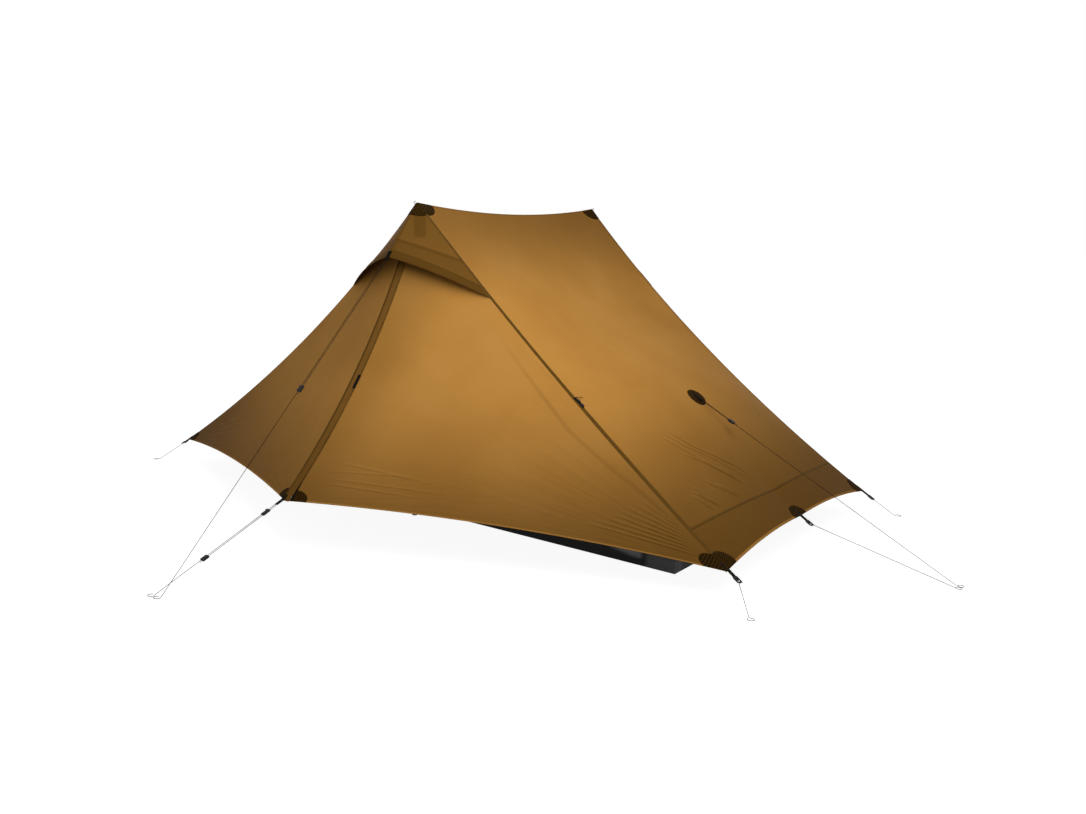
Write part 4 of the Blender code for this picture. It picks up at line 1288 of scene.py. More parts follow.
    def panels(self) -> None:
        """Roof ends, both halves of each door, and the hoods."""
        fit = self.fitter.fit
        columns = self.cells(self.roof_size[0], (0.5, 5), (1.0, 12))
        lines = self.cells(self.roof_size[1], (0.36, 12), (0.64, 8), (0.92, 5), (1.0, 9))
        roof = sheet("right_fly_roof", self.roof, columns, lines, self.roof_size, self.cloth)
        # Painted shade on the roof: towards the ground, peaks and corners, and below the band's seam
        paint(roof, "layers", self.dimmed(0.0, self.shade_below_band))
        # Painted shade and highlight along the roof's creases
        self.paint_crease_shading(roof, self.roof.relief, columns, lines)
        fit(roof, Dress.NYLON, stands_for=["right_roof_panel"], cut=(1.34, 1.86, 2.24))
        columns, lines = self.cells(self.door_size[0], (1.0, 7)), self.cells(self.door_size[1], (0.79, 11), (1.0, 5))
        pegged = sheet("near_pegged_door", self.pegged, columns, lines, self.door_size, self.cloth)
        # Painted shade on the pegged half of the door
        paint(pegged, "layers", self.dimmed(0.05))
        fit(pegged, Dress.NYLON, stands_for=["near_staked_door"], cut=(1.56, 1.22, 0.88))
        opening = sheet("near_opening_door", self.opening, columns, lines, self.door_size, self.cloth)
        # Painted shade on the opening half, with painted shadows of what lies behind it
        paint(opening, "layers", self.dimmed(0.0, self.shadows_through_door))
        # Painted shade and highlight along the door's creases
        self.paint_crease_shading(opening, self.opening.relief, columns, lines)
        fit(opening, Dress.NYLON, stands_for=["near_door_leaf", "near_door_gusset"], bends=True,
            cut=(1.53, 1.22, 0.86))
        hood = sheet("near_hood", self.hood, shares(200), shares(90, 0.04), (0.5, 0.3), self.cloth)
        # Painted shade on the hood, darker all over, with painted shadows of the door and grip behind it
        paint(hood, "layers", self.dimmed(0.68, self.shadows_through_hood))
        fit(hood, Dress.NYLON, stands_for=["near_vent_hood"], cut=(0.74, 0.34, 0.111))

    @staticmethod
    def paint_crease_shading(piece: Object, slack: Slack, columns: Sequence[float], lines: Sequence[float]) -> None:
        """Paint shade on the low side of each crease of a painted panel, and a highlight on its upper side.

        Args:
            piece: The panel, already painted.
            slack: Its wrinkles.
            columns: Shares across it of its points.
            lines: Shares down it of its points.
        """
        shades = [slack.shade(across, down) for down in lines for across in columns]
        for index, point in enumerate(piece.data.attributes["layers"].data):
            point.value = min(max(point.value + shades[index % len(shades)], 0.0), 1.0)

    def light(self, point: Vector) -> float:
        """Share of the light left in the cloth's painted colour at a point: painted shade near the ground, over the
        inner tent's peaks and towards the corners.
        """
        low = self.ground_shade * (1 - ease(point.z, 0.04, 0.60))
        top = self.peak_shade * ease(point.z, 0.85, 1.22)
        end = self.corner_shade * ease(abs(point.x), 0.6, 1.4)
        return (1 - low) * (1 - top) * (1 - end)

    def dimmed(self, layers: float, more: Shade = lambda point: 0.0) -> Shade:
        """Share of a piece's darker colour at a point, from its own share, the painted shade that light() gives, and
        any other painted shade or shadow.
        """
        return lambda point: 1 - (1 - layers) * self.light(point) * (1 - more(point))

    def band_at(self, across: float) -> float:
        """Share down the roof of the band's seam, which was sewn straight from side to side."""
        return self.band_share + self.band_dip * arch(across)

    def shade_below_band(self, point: Vector) -> float:
        """Painted shade on the roof: darker below the band's seam over the end hem, and more so towards the hem."""
        shape, half = self.shape, 4 * MM
        start = shape.roof(0, 0.55).x
        share = (point.x - start) / (shape.corner_half_length - start)
        across = min(max((point.y + shape.corner_half_width) / (2 * shape.corner_half_width), 0), 1)
        edge = shape.roof(across, self.band_at(across)).x
        # Painted shade: a step at the band's seam, and a ramp towards the end hem
        return 0.28 * ease(point.x, edge - half, edge + half) + 0.1 * ease(share, 0.4, 1.0)

    @staticmethod
    def shadows_through_door(point: Vector) -> float:
        """Painted shadow of the inner tent's edge on the door, and painted shade beside the storm flap."""
        nearest = 1.0
        for start, end in zip(INNER_EDGE_SHADOW, INNER_EDGE_SHADOW[1:]):
            a, b = Vector(start), Vector(end)
            t = min(max((point - a).dot(b - a) / (b - a).length_squared, 0), 1)
            nearest = min(nearest, (point - a.lerp(b, t)).length)
        # Painted shadow line along the inner tent's edge, and painted shade beside the flap
        edge = (1 - ease(nearest, 0.003, 0.011)) * 0.20 * ease(point.x, 0.34, 0.7)
        beside = 0.30 * (1 - ease(point.x, 0.04, 0.24))
        return min(1.0, edge + beside)

    @staticmethod
    def shadows_through_hood(point: Vector) -> float:
        """Painted shade on the hood where the door's top lies close behind it, and painted shadows of the door's hem
        and the pole's grip.
        """
        edge = 1.1085 - 0.245 * abs(point.x) - 0.36 * point.x ** 2
        shade_over_door = (1 - ease(point.z, edge - 0.006, edge)) * 0.5
        shadow_of_door_hem = (1 - ease(abs(point.z - edge), 0.003, 0.008)) * 0.8
        beside = abs(point.x - 0.0333 - 0.458 * (1.193 - point.z))
        # Painted shadow of the pole's grip behind the hood
        grip = (1 - ease(beside, 0.012, 0.022)) * ease(point.z, 1.112, 1.13) * 0.7
        return min(1.0, max(shade_over_door, shadow_of_door_hem, grip))

    def strip(self, name: str, rails: Sequence[Rail], count: int, dress: Dress, facing: Vector = OUTWARD,
              thickness: float = 0.5 * MM, layers: Shade | None = None, **how: object) -> None:
        """Strip of cloth or tape on the fly, put on its body.

        Args:
            name: The object's name.
            rails: Its lines from one side to the other.
            count: Steps along it.
            dress: Its finish and slot.
            facing: A direction on its outer side.
            thickness: Its thickness.
            layers: Its share of the darker colour, for its plies and the painted shade, where it is painted.
            **how: How it is fitted.
        """
        piece = ribbon(name, rails, count, facing, thickness)
        if layers:
            paint(piece, "layers", layers)
        self.fitter.fit(piece, dress, **how)

    def seams(self) -> None:
        """Felled seams down to the corners, the ridge seam, the roof's band and the hood's middle."""
        shape, roof = self.shape, self.roof
        wide = self.seam_width / (2 * shape.peak_half_span)
        flat, raised = 0.6 * MM, ((-1, 0.1), (-0.8, 0.8), (0.8, 0.8), (1, 0.1))
        # The far seam's nylon carries its own darker share and the fly's painted shade
        for name, turn, more in (
                ("near", Vector, {"dress": Dress.SEAM}),
                ("far", across_tent, {"dress": Dress.NYLON, "layers": self.dimmed(0.35)})):
            rails = rails_of(lambda drop, out, t: turn(shape.seam(t) - UP * drop * MM - ACROSS * out * MM),
                             ((4.0, 0.6), (0.5, 1.2)))
            rails += rails_of(lambda share, lift, t: roof.at(1 - share if name == "far" else share, t, lift * MM),
                              ((0.0005, 1.0), (wide * 0.15, 1.3), (wide * 0.85, 1.1), (wide, 0.1)))
            self.strip(f"right_{name}_felled_seam", rails, 180, facing=UP, thickness=flat, **more)
        half, step, aside = 6 * MM / shape.seam_length, 5 * MM / shape.seam_length, 9 * MM / 0.5
        rails = rails_of(lambda side, lift, t: (mirrored if side < 0 else Vector)(
            roof.at(0.02 + 0.96 * t, abs(side) * half, lift * MM)),
            ((-1, 0.1), (-0.8, 0.9), (0, 1.2), (0.8, 0.9), (1, 0.1)))
        # The ridge seam's nylon carries its own darker share and the fly's painted shade
        self.strip("ridge_felled_seam", rails, 90, Dress.NYLON, UP, flat, self.dimmed(0.2), twin=False)
        rails = rails_of(lambda side, lift, t: roof.at(t, self.band_at(t) + side * step, lift * MM), raised)
        self.strip("right_band_seam", rails, 130, Dress.SEAM, UP, flat)
        rails = rails_of(lambda side, lift, t: self.hood.at(0.5 + side * aside * (0.35 + 0.65 * t), 0.12 + 0.86 * t,
                                                            lift * MM),
                         ((-1, 0.1), (-0.8, 0.9), (0.8, 0.9), (1, 0.1)))
        self.strip("near_hood_seam", rails, 40, Dress.SEAM, thickness=flat)

    def hems(self) -> None:
        """Hems folded round the low edges of the roof and the doors, and the hoods' stiff hems."""
        # Hems carry half of the fly's painted shade, so they show lighter than the cloth around them
        full = self.dimmed(0.0)
        for name, cloth, length, count in (("right_end_hem", self.roof, self.roof_size[1], 130),
                                           ("near_pegged_hem", self.pegged, self.door_size[1], 140),
                                           ("near_opening_hem", self.opening, self.door_size[1], 140)):
            wide = self.hem_width / length
            rails = rails_of(lambda back, lift, t: cloth.at(t, 1 - wide * back, lift * MM),
                             ((1, 0.05), (0.9, 0.7), (0.1, 0.8), (0, 0.1), (0.02, -1.1), (0.9, -1.2), (1, -0.6)))
            self.strip(name, rails, count, Dress.NYLON, cloth.facing - UP * 0.2, 0.4 * MM,
                       lambda point: 0.5 * full(point), bends="opening" in name)
        top = 1 - self.hood_band
        rails = rails_of(lambda down, lift, t: self.hood.at(0.004 + 0.992 * t, down, lift * MM),
                         ((top, 0.1), (1 - self.hood_band * 0.94, 1.1), (1 - self.hood_band * 0.5, 1.5), (0.99, 1.3),
                          (1.0, 0.2), (0.998, -1.6), (top, -1.4)))
        self.strip("near_hood_hem", rails, 110, Dress.NYLON, layers=self.dimmed(1.0))
        rails = rails_of(lambda down, lift, t: self.hood.at(0.004 + 0.992 * t, top + down, lift * MM),
                         ((-0.012, 0.3), (-0.008, 1.5), (0.004, 1.9), (0.008, 1.3)))
        self.strip("near_hood_hem_fold", rails, 110, Dress.SEAM)

    def flap(self, aside: float, lift: float, t: float) -> Vector:
        """Point of the storm flap, some millimetres aside and off the zip, at a share along it."""
        shape = self.shape
        share = shape.door_top_share + (1.003 - shape.door_top_share) * t
        curl = 0.9 * (aside * MM / shape.flap_width) ** 2 * (1 + noise.noise(Vector((t * 9, 0, 4.2))))
        return shape.zip_line(share, aside * MM, -(lift + curl) * MM)

    def tape(self, aside: float, depth: float, t: float) -> Vector:
        """Point of a zip tape, some millimetres aside and under the zip, at a share along it."""
        top = self.shape.zip_top_share
        return self.shape.zip_line(top + (0.985 - top) * t, aside * MM, depth * MM)

    def zips(self) -> None:
        """Storm flaps, with the tapes and teeth of the zips under them."""
        shape = self.shape
        rails = rails_of(self.flap, ((0.4, 0.4), (2, 1.0), (10, 1.0), (20, 0.9), (26, 0.9), (26.4, 1.5), (29.6, 1.5),
                                     (30, 0.8)))
        # The flap is mostly the darker colour, with the fly's painted shade on the rest
        self.strip("near_flap", rails, 150, Dress.NYLON, layers=self.dimmed(0.72), stands_for=["near_storm_flap"])
        rails = rails_of(lambda aside, lift, t: self.flap(aside, lift, 0.018 + 0.026 * t),
                         ((5, 1.2), (6, 2.0), (23, 2.0), (24, 1.2)))
        self.strip("near_zip_top_patch", rails, 8, Dress.WEBBING, thickness=0.6 * MM)
        rails = rails_of(self.flap, ((-7, 0.2), (-6, 1.3), (-1, 1.6), (1.6, 1.6), (2.4, 0.9)))
        self.strip("near_flap_seam", rails, 150, Dress.SEAM)
        rails = rails_of(self.tape, ((-2.5, 0.9), (1.5, 0.7), (12.6, 0.5), (14, 0.3)))
        self.strip("near_zip_tape", rails, 120, Dress.WEBBING, thickness=0.7 * MM, stands_for=["near_zip"])
        rails = rails_of(self.tape, ((16, 0.3), (17.4, 0.5), (28.5, 0.7), (33, 0.9)))
        self.strip("near_leaf_zip_tape", rails, 120, Dress.WEBBING, thickness=0.7 * MM, bends=True)
        run = 0.98 - shape.zip_top_share
        steps = int(shape.zip_length * run / (3 * MM)) * 4
        for name, aside in (("near_zip_coil", 13.6 * MM), ("near_leaf_zip_coil", 16.4 * MM)):
            route = [shape.zip_line(shape.zip_top_share + run * i / steps,
                                    aside + 1.3 * MM * math.cos(math.pi / 2 * i),
                                    1.1 * MM + 0.8 * MM * math.sin(math.pi / 2 * i)) for i in range(steps + 1)]
            self.fitter.fit(tube(name, route, 0.32 * MM, 5), Dress.TEETH, bends="leaf" in name)

    def patch(self, name: str, cloth: Cloth, hub: tuple[float, float], radius: float, size: tuple[float, float],
              start: float, end: float) -> Object:
        """Round reinforcing patch sewn on a panel, or the part of one between two angles.

        Args:
            name: The object's name.
            cloth: The panel that it lies on.
            hub: Its middle, as shares across and down the panel.
            radius: Its radius.
            size: The panel's width and length at the hub.
            start: Angle where it starts, from the way across towards the way down.
            end: Angle where it ends.

        Returns:
            The patch.
        """
        steps = max(8, round((end - start) / math.radians(6)))
        closed = end - start > 1.9 * math.pi
        rows, places = [], []
        for i in range(self.patch_rings + 1):
            out = radius * max(i / self.patch_rings, 0.02)
            rise = self.patch_lift * (1.0 if i < self.patch_rings else 0.15)
            angles = [start + (end - start) * k / steps for k in range(steps + (0 if closed else 1))]
            spots = [(out * math.cos(angle), out * math.sin(angle)) for angle in angles]
            rows.append([cloth.at(min(max(hub[0] + x / size[0], 0.0), 1.0), min(max(hub[1] + y / size[1], 0.0), 1.0),
                                  rise) for x, y in spots])
            places.append(spots)
        piece = grid_mesh(name, rows, cloth.facing, places, closed)
        piece.data.shade_smooth()
        thicken(piece, 0.5 * MM)
        return piece

    def patches(self) -> None:
        """Reinforcing patches at the corners, hems, roof tie-outs and vestibule points."""
        half = math.pi / 2
        at_hem, at_door, at_stake = (2 * self.shape.corner_half_width, self.roof_size[1]), (1.55, 1.55), (1.55, 1.42)
        for name, cloth, hub, radius, size, start, end, node in (
                ("near_right_corner_patch", self.roof, (0, 1), 80, at_hem, -half, 0, "near_right_corner_anchor"),
                ("far_right_corner_patch", self.roof, (1, 1), 80, at_hem, -2 * half, -half, "far_right_corner_anchor"),
                ("near_leaf_corner_patch", self.opening, (1, 1), 80, at_door, -2 * half, -half, ""),
                ("near_pegged_corner_patch", self.pegged, (1, 1), 80, at_door, -2 * half, -half, ""),
                ("right_end_patch", self.roof, (0.5, 1), 56, at_hem, -2 * half, 0, "right_end_anchor"),
                ("right_tieout_patch", self.roof, (0.5, self.shape.tieout_share), 47, (1.24, 1.9), 0, 4 * half,
                 "right_roof_tieout"),
                ("near_vestibule_patch", self.pegged, (0, 1), 64, at_stake, -half, 0, "near_vestibule_anchor"),
                ("near_leaf_vestibule_patch", self.opening, (0, 1), 62, at_stake, -half, 0, "")):
            piece = self.patch(name, cloth, hub, radius * MM, size, start, end)
            self.fitter.fit(piece, Dress.RIPSTOP, stands_for=[node] if node else (), bends="leaf" in name)

    def peak_caps(self) -> None:
        """Caps of black ripstop over both peaks, on the roof and down the top of the hood."""
        shape = self.shape
        ridge_reach, reach, rings, steps = 88 * MM, 66 * MM, 8, 12
        side_down = reach / shape.seam_length / shape.hood_seam_share
        middle_down = (shape.peak.z - shape.seam(reach / shape.seam_length).z) / shape.hood_drop
        rows, places = [], []
        for i in range(rings + 1):
            out = max(i / rings, 0.03)
            lift = 1.6 * MM if i < rings else 0.3 * MM
            quarter = [self.roof.at(ridge_reach * out * math.cos(angle) / (2 * shape.peak_half_span),
                                    reach * out * math.sin(angle) / shape.seam_length, lift)
                       for angle in (math.pi / 2 * k / steps for k in range(steps + 1))]
            front = [self.hood.at(1 - k / (2 * steps),
                                  (middle_down + (side_down - middle_down) * abs(1 - k / steps)) * out, lift)
                     for k in range(1, 2 * steps)]
            rows.append([*quarter, *front, *(mirrored(point) for point in quarter[:0:-1])])
            turn = 2 * math.pi / len(rows[0])
            places.append([(reach * out * math.cos(turn * k), reach * out * math.sin(turn * k))
                           for k in range(len(rows[0]))])
        cap = grid_mesh("near_peak_cap", rows, UP, places, True)
        cap.data.shade_smooth()
        thicken(cap, 0.6 * MM)
        self.fitter.fit(cap, Dress.RIPSTOP, stands_for=["near_peak_patch"])

    def stitching(self) -> None:
        """Rows of stitches along the seams, hems, flaps and patches."""
        fit, roof, hood, shape = self.fitter.fit, self.roof, self.hood, self.shape
        wide, step = self.seam_width / (2 * shape.peak_half_span), 3.2 * MM / shape.seam_length
        hem = self.hem_width / self.roof_size[1]
        sides = rails_of(lambda across, t: roof.at(across, 0.05 + 0.90 * t, 1.6 * MM),
                         ((wide * 0.18,), (wide * 0.8,), (1 - wide * 0.18,), (1 - wide * 0.8,)))
        runs = [(rail, shape.seam_length) for rail in sides]
        runs.append((lambda t: roof.at(t, 1 - hem * 0.8, 1.2 * MM), 2 * shape.corner_half_width))
        runs += [(rail, 1.3) for rail in
                 rails_of(lambda side, t: roof.at(t, self.band_at(t) + side * step, 1.2 * MM), ((-1,), (1,)))]
        fit(stitches("right_roof_stitches", runs, UP), Dress.THREAD)
        low = 1 - self.hem_width / self.door_size[1] * 0.8
        for name, cloth in (("near_pegged_stitches", self.pegged), ("near_opening_stitches", self.opening)):
            runs = [(lambda t: cloth.at(0.06 + 0.88 * t, low, 1.2 * MM), 1.32),
                    (lambda t: cloth.at(t, 0.004, 0.5 * MM), 0.26)]
            fit(stitches(name, runs, OUTWARD), Dress.THREAD, bends="opening" in name)
        runs = [(rail, 0.72) for rail in
                rails_of(lambda down, t: hood.at(0.01 + 0.98 * t, down, 1.6 * MM), ((0.89,), (0.985,)))]
        top = shape.door_top_share
        runs += [(rail, 1.0) for rail in
                 rails_of(lambda aside, lift, t: shape.zip_line(top + (0.99 - top) * t, aside * MM, -lift * MM),
                          ((-5, 1.9), (0.6, 2.0), (28.2, 2.0)))]
        fit(stitches("near_flap_stitches", runs, OUTWARD), Dress.THREAD)


# -------------------- straps, locks and toggles


@dataclass
class Hardware:
    """Straps, ladder-locks, tabs and tensioners of the fly.

    Attributes:
        fly: The fly that they are sewn to.
        width: Width of the corner and end straps.
        hold: How far they are sewn down.
        reach: How far they reach past the cloth.
    """

    fly: Fly
    width: float = 18 * MM
    hold: float = 34 * MM
    reach: float = 45 * MM

    def build(self) -> None:
        """Make all but the vestibule's pieces."""
        self.ends()
        self.hood_tab()
        self.tie_backs()
        self.peak_loops()
        self.tieouts()

    def webbing(self, name: str, place: Matrix, hold: float, reach: float, width: float,
                thickness: float = 2 * MM) -> None:
        """Length of webbing along a frame's X axis, sewn down over its hold and free over its reach.

        Args:
            name: The object's name.
            place: The frame, with the cloth under its XY plane.
            hold: Length behind the frame's origin.
            reach: Length ahead of it.
            width: Its width.
            thickness: Its thickness.
        """
        rows, places = [], []
        for t in shares(28):
            crown = 0.25 * MM * math.sin(t * 40)
            rows.append([place @ Vector(((hold + reach) * t - hold, side * width / 2,
                                         thickness / 2 + 0.6 * MM + (crown if abs(side) < 1 else 0)))
                         for side in (-1, -0.94, -0.5, 0, 0.5, 0.94, 1)])
            places.append([((k - 3) * width / 6, (hold + reach) * t) for k in range(7)])
        piece = grid_mesh(name, rows, place.to_3x3() @ UP, places)
        wall = piece.modifiers.new("thickness", "SOLIDIFY")
        wall.thickness = thickness
        wall.offset = 0
        soften(piece, 0.5 * MM, 2)
        piece.data.shade_smooth()
        self.fly.fitter.fit(settle(piece), Dress.WEBBING)

    def bar_tacks(self, name: str, place: Matrix, hold: float, width: float) -> None:
        """Box of stitches with a cross in it, and three bar tacks at the edge of the cloth.

        Args:
            name: The object's name.
            place: The webbing's frame.
            hold: How far the webbing is sewn down.
            width: Its width.
        """
        half, top = width * 0.36, 2.8 * MM
        back, front = -hold * 0.88, -hold * 0.22
        box = [(back, -half), (back, half), (front, half), (front, -half)]
        pairs = [(box[a], box[b]) for a, b in ((0, 1), (1, 2), (2, 3), (3, 0), (0, 2), (1, 3))]
        pairs += [((x * MM, -half), (x * MM, half)) for x in (-1.0, -2.2, -3.4)]
        ends = [(place @ Vector((*start, top)), place @ Vector((*end, top))) for start, end in pairs]
        runs = [(partial(start.lerp, end), (end - start).length) for start, end in ends]
        self.fly.fitter.fit(stitches(name, runs, place.to_3x3() @ UP, 2.5 * MM), Dress.TACKS)

    def sewn_strap(self, name: str, place: Matrix) -> None:
        """Strap with its stitches, and the ladder-lock on its end: a frame with two bars and a lifting tab."""
        self.webbing(name + "_strap", place, self.hold, self.reach, self.width)
        self.bar_tacks(name + "_bar_tacks", place, self.hold, self.width)
        end = place @ Matrix.Translation((self.reach - 8 * MM, 0, 1.6 * MM))
        body = block(name + "_ladder_lock_frame", end, (24 * MM, self.width + 7 * MM, 4 * MM), (4 * MM, 0, 0),
                     1.2 * MM)
        for x in (1.5 * MM, 11.5 * MM):
            cutter = block("slot", end, (5 * MM, self.width + 0.6 * MM, 9 * MM), (x, 0, 0), 0.5 * MM)
            cut = body.modifiers.new("slot", "BOOLEAN")
            cut.operation = "DIFFERENCE"
            cut.solver = "EXACT"
            cut.object = cutter
            apply_all(body)
            bpy.data.objects.remove(cutter)
        lip = block(name + "_ladder_lock_lip", end, (7 * MM, self.width + 4 * MM, 1.6 * MM), (18 * MM, 0, 1.6 * MM),
                    0.6 * MM)
        for piece in (settle(body), lip):
            self.fly.fitter.fit(piece, Dress.PLASTIC)

    def ends(self) -> None:
        """Straps at the corners of the fly and at the middle of each end hem."""
        shape = self.fly.shape
        corner = shape.strap_frame(0, 1, shape.corner_aside)
        self.sewn_strap("near_right_corner", corner)
        self.sewn_strap("far_right_corner", Matrix.Scale(-1, 4, ACROSS) @ corner)
        self.sewn_strap("right_end", shape.strap_frame(0.5, 1))

    def vestibule(self) -> None:
        """Webbing down the zip's foot and out to its line, with the tensioner on that line."""
        fly, fit, wide = self.fly, self.fly.fitter.fit, 17 * MM
        sewn, free = fly.shape.zip_foot(), fly.shape.zip_foot(fly.shape.vestibule_peg)
        self.webbing("near_vestibule_webbing", sewn, 20 * MM, 2 * MM, wide)
        self.bar_tacks("near_vestibule_bar_tacks", sewn, 18 * MM, wide)
        self.webbing("near_vestibule_loop", free, 0, 34 * MM, wide * 0.8)
        fit(block("near_line_tensioner", free, (30 * MM, 15 * MM, 7 * MM), (84 * MM, 0, 1.6 * MM), 1.6 * MM),
            Dress.PLASTIC)
        fit(block("near_tensioner_horn", free, (9 * MM, 20 * MM, 4 * MM), (72 * MM, 0, 3.5 * MM), 1.2 * MM),
            Dress.PLASTIC)
        rails = rails_of(lambda side, t: fly.opening.at(side * (1.4 + 9 * t) * MM / 1.5, 0.925 + 0.075 * t, 2.6 * MM),
                         ((0,), (0.1,), (0.5,), (0.9,), (1,)))
        fly.strip("near_zip_garage", rails, 16, Dress.WEBBING, thickness=1.0 * MM, bends=True)

    def hood_tab(self) -> None:
        """Webbing tab folded over the hood's hem, and the knot of its line."""
        place = self.fly.shape.hood_frame()
        self.webbing("near_hood_tab", place, 26 * MM, 12 * MM, 16 * MM, 2.4 * MM)
        knot = [place @ mm(14 + 2.6 * math.sin(a * 1.5), 3.4 * math.cos(a), 1.6 + 2.0 * math.sin(a))
                for a in shares(48, 0, 4 * math.pi)]
        self.fly.fitter.fit(tube("near_hood_knot", knot, 1.0 * MM, 8), Dress.CORD)

    def tie_backs(self) -> None:
        """Strap and loop that hold each tie-back toggle, and the tab on each flap."""
        shape, roof, share, low = self.fly.shape, self.fly.roof, 0.56, 0.595
        side = 9 * MM / (2 * abs(shape.seam(share).y))
        place = roof.at(side, share, 0.6 * MM)
        down = roof.at(side, share + 0.01, 0.6 * MM) - place
        base = frame_at(place, down, down.cross(roof.at(side + 0.01, share) - roof.at(side, share)).normalized())
        self.webbing("near_toggle_strap", base, 16 * MM, 8 * MM, 10 * MM, 1.6 * MM)
        loop = [base @ mm(-8 - 6 * math.cos(a), 16 - 13.5 * math.cos(a), 2.5 + 5 * math.sin(a / 2))
                for a in shares(32, 0, 2 * math.pi)]
        self.fly.fitter.fit(tube("near_toggle_loop", loop, 1.1 * MM, 8), Dress.LOOP)
        tab = frame_at(shape.zip_line(low, 29 * MM) + OUTWARD.normalized() * 2 * MM,
                       shape.zip_line(low + 0.01) - shape.zip_line(low), OUTWARD)
        self.webbing("near_flap_tab", tab, 28 * MM, 28 * MM, 11 * MM, 1.8 * MM)

    def peak_loops(self) -> None:
        """Cord loop at the top of each peak, for a line or to hang the tent up."""
        loop = [self.fly.shape.peak + mm(0, -6 - 9 * math.sin(a), 0.5 + 5 * math.cos(a))
                for a in shares(16, 0, math.pi)]
        self.fly.fitter.fit(tube("near_peak_loop", loop, 1.1 * MM, 8), Dress.CORD)

    def tieouts(self) -> None:
        """Loop of webbing on the round patch of each roof end, and the strap over it."""
        shape = self.fly.shape
        loop = shape.strap_frame(0.5, shape.tieout_share, peg=shape.roof_peg)
        self.webbing("right_tieout_loop", loop, 6 * MM, 28 * MM, 12 * MM)
        flat = shape.strap_frame(0.5, shape.tieout_share)
        rails = rails_of(lambda aside, t: flat @ mm((t - 0.5) * 40, aside, 1.1 + 0.6 * math.sin(math.pi * t)),
                         ((-7,), (-6,), (0,), (6,), (7,)))
        self.fly.strip("right_tieout_strap", rails, 14, Dress.WEBBING, flat.to_3x3() @ UP, 1.2 * MM)


# -------------------- guylines


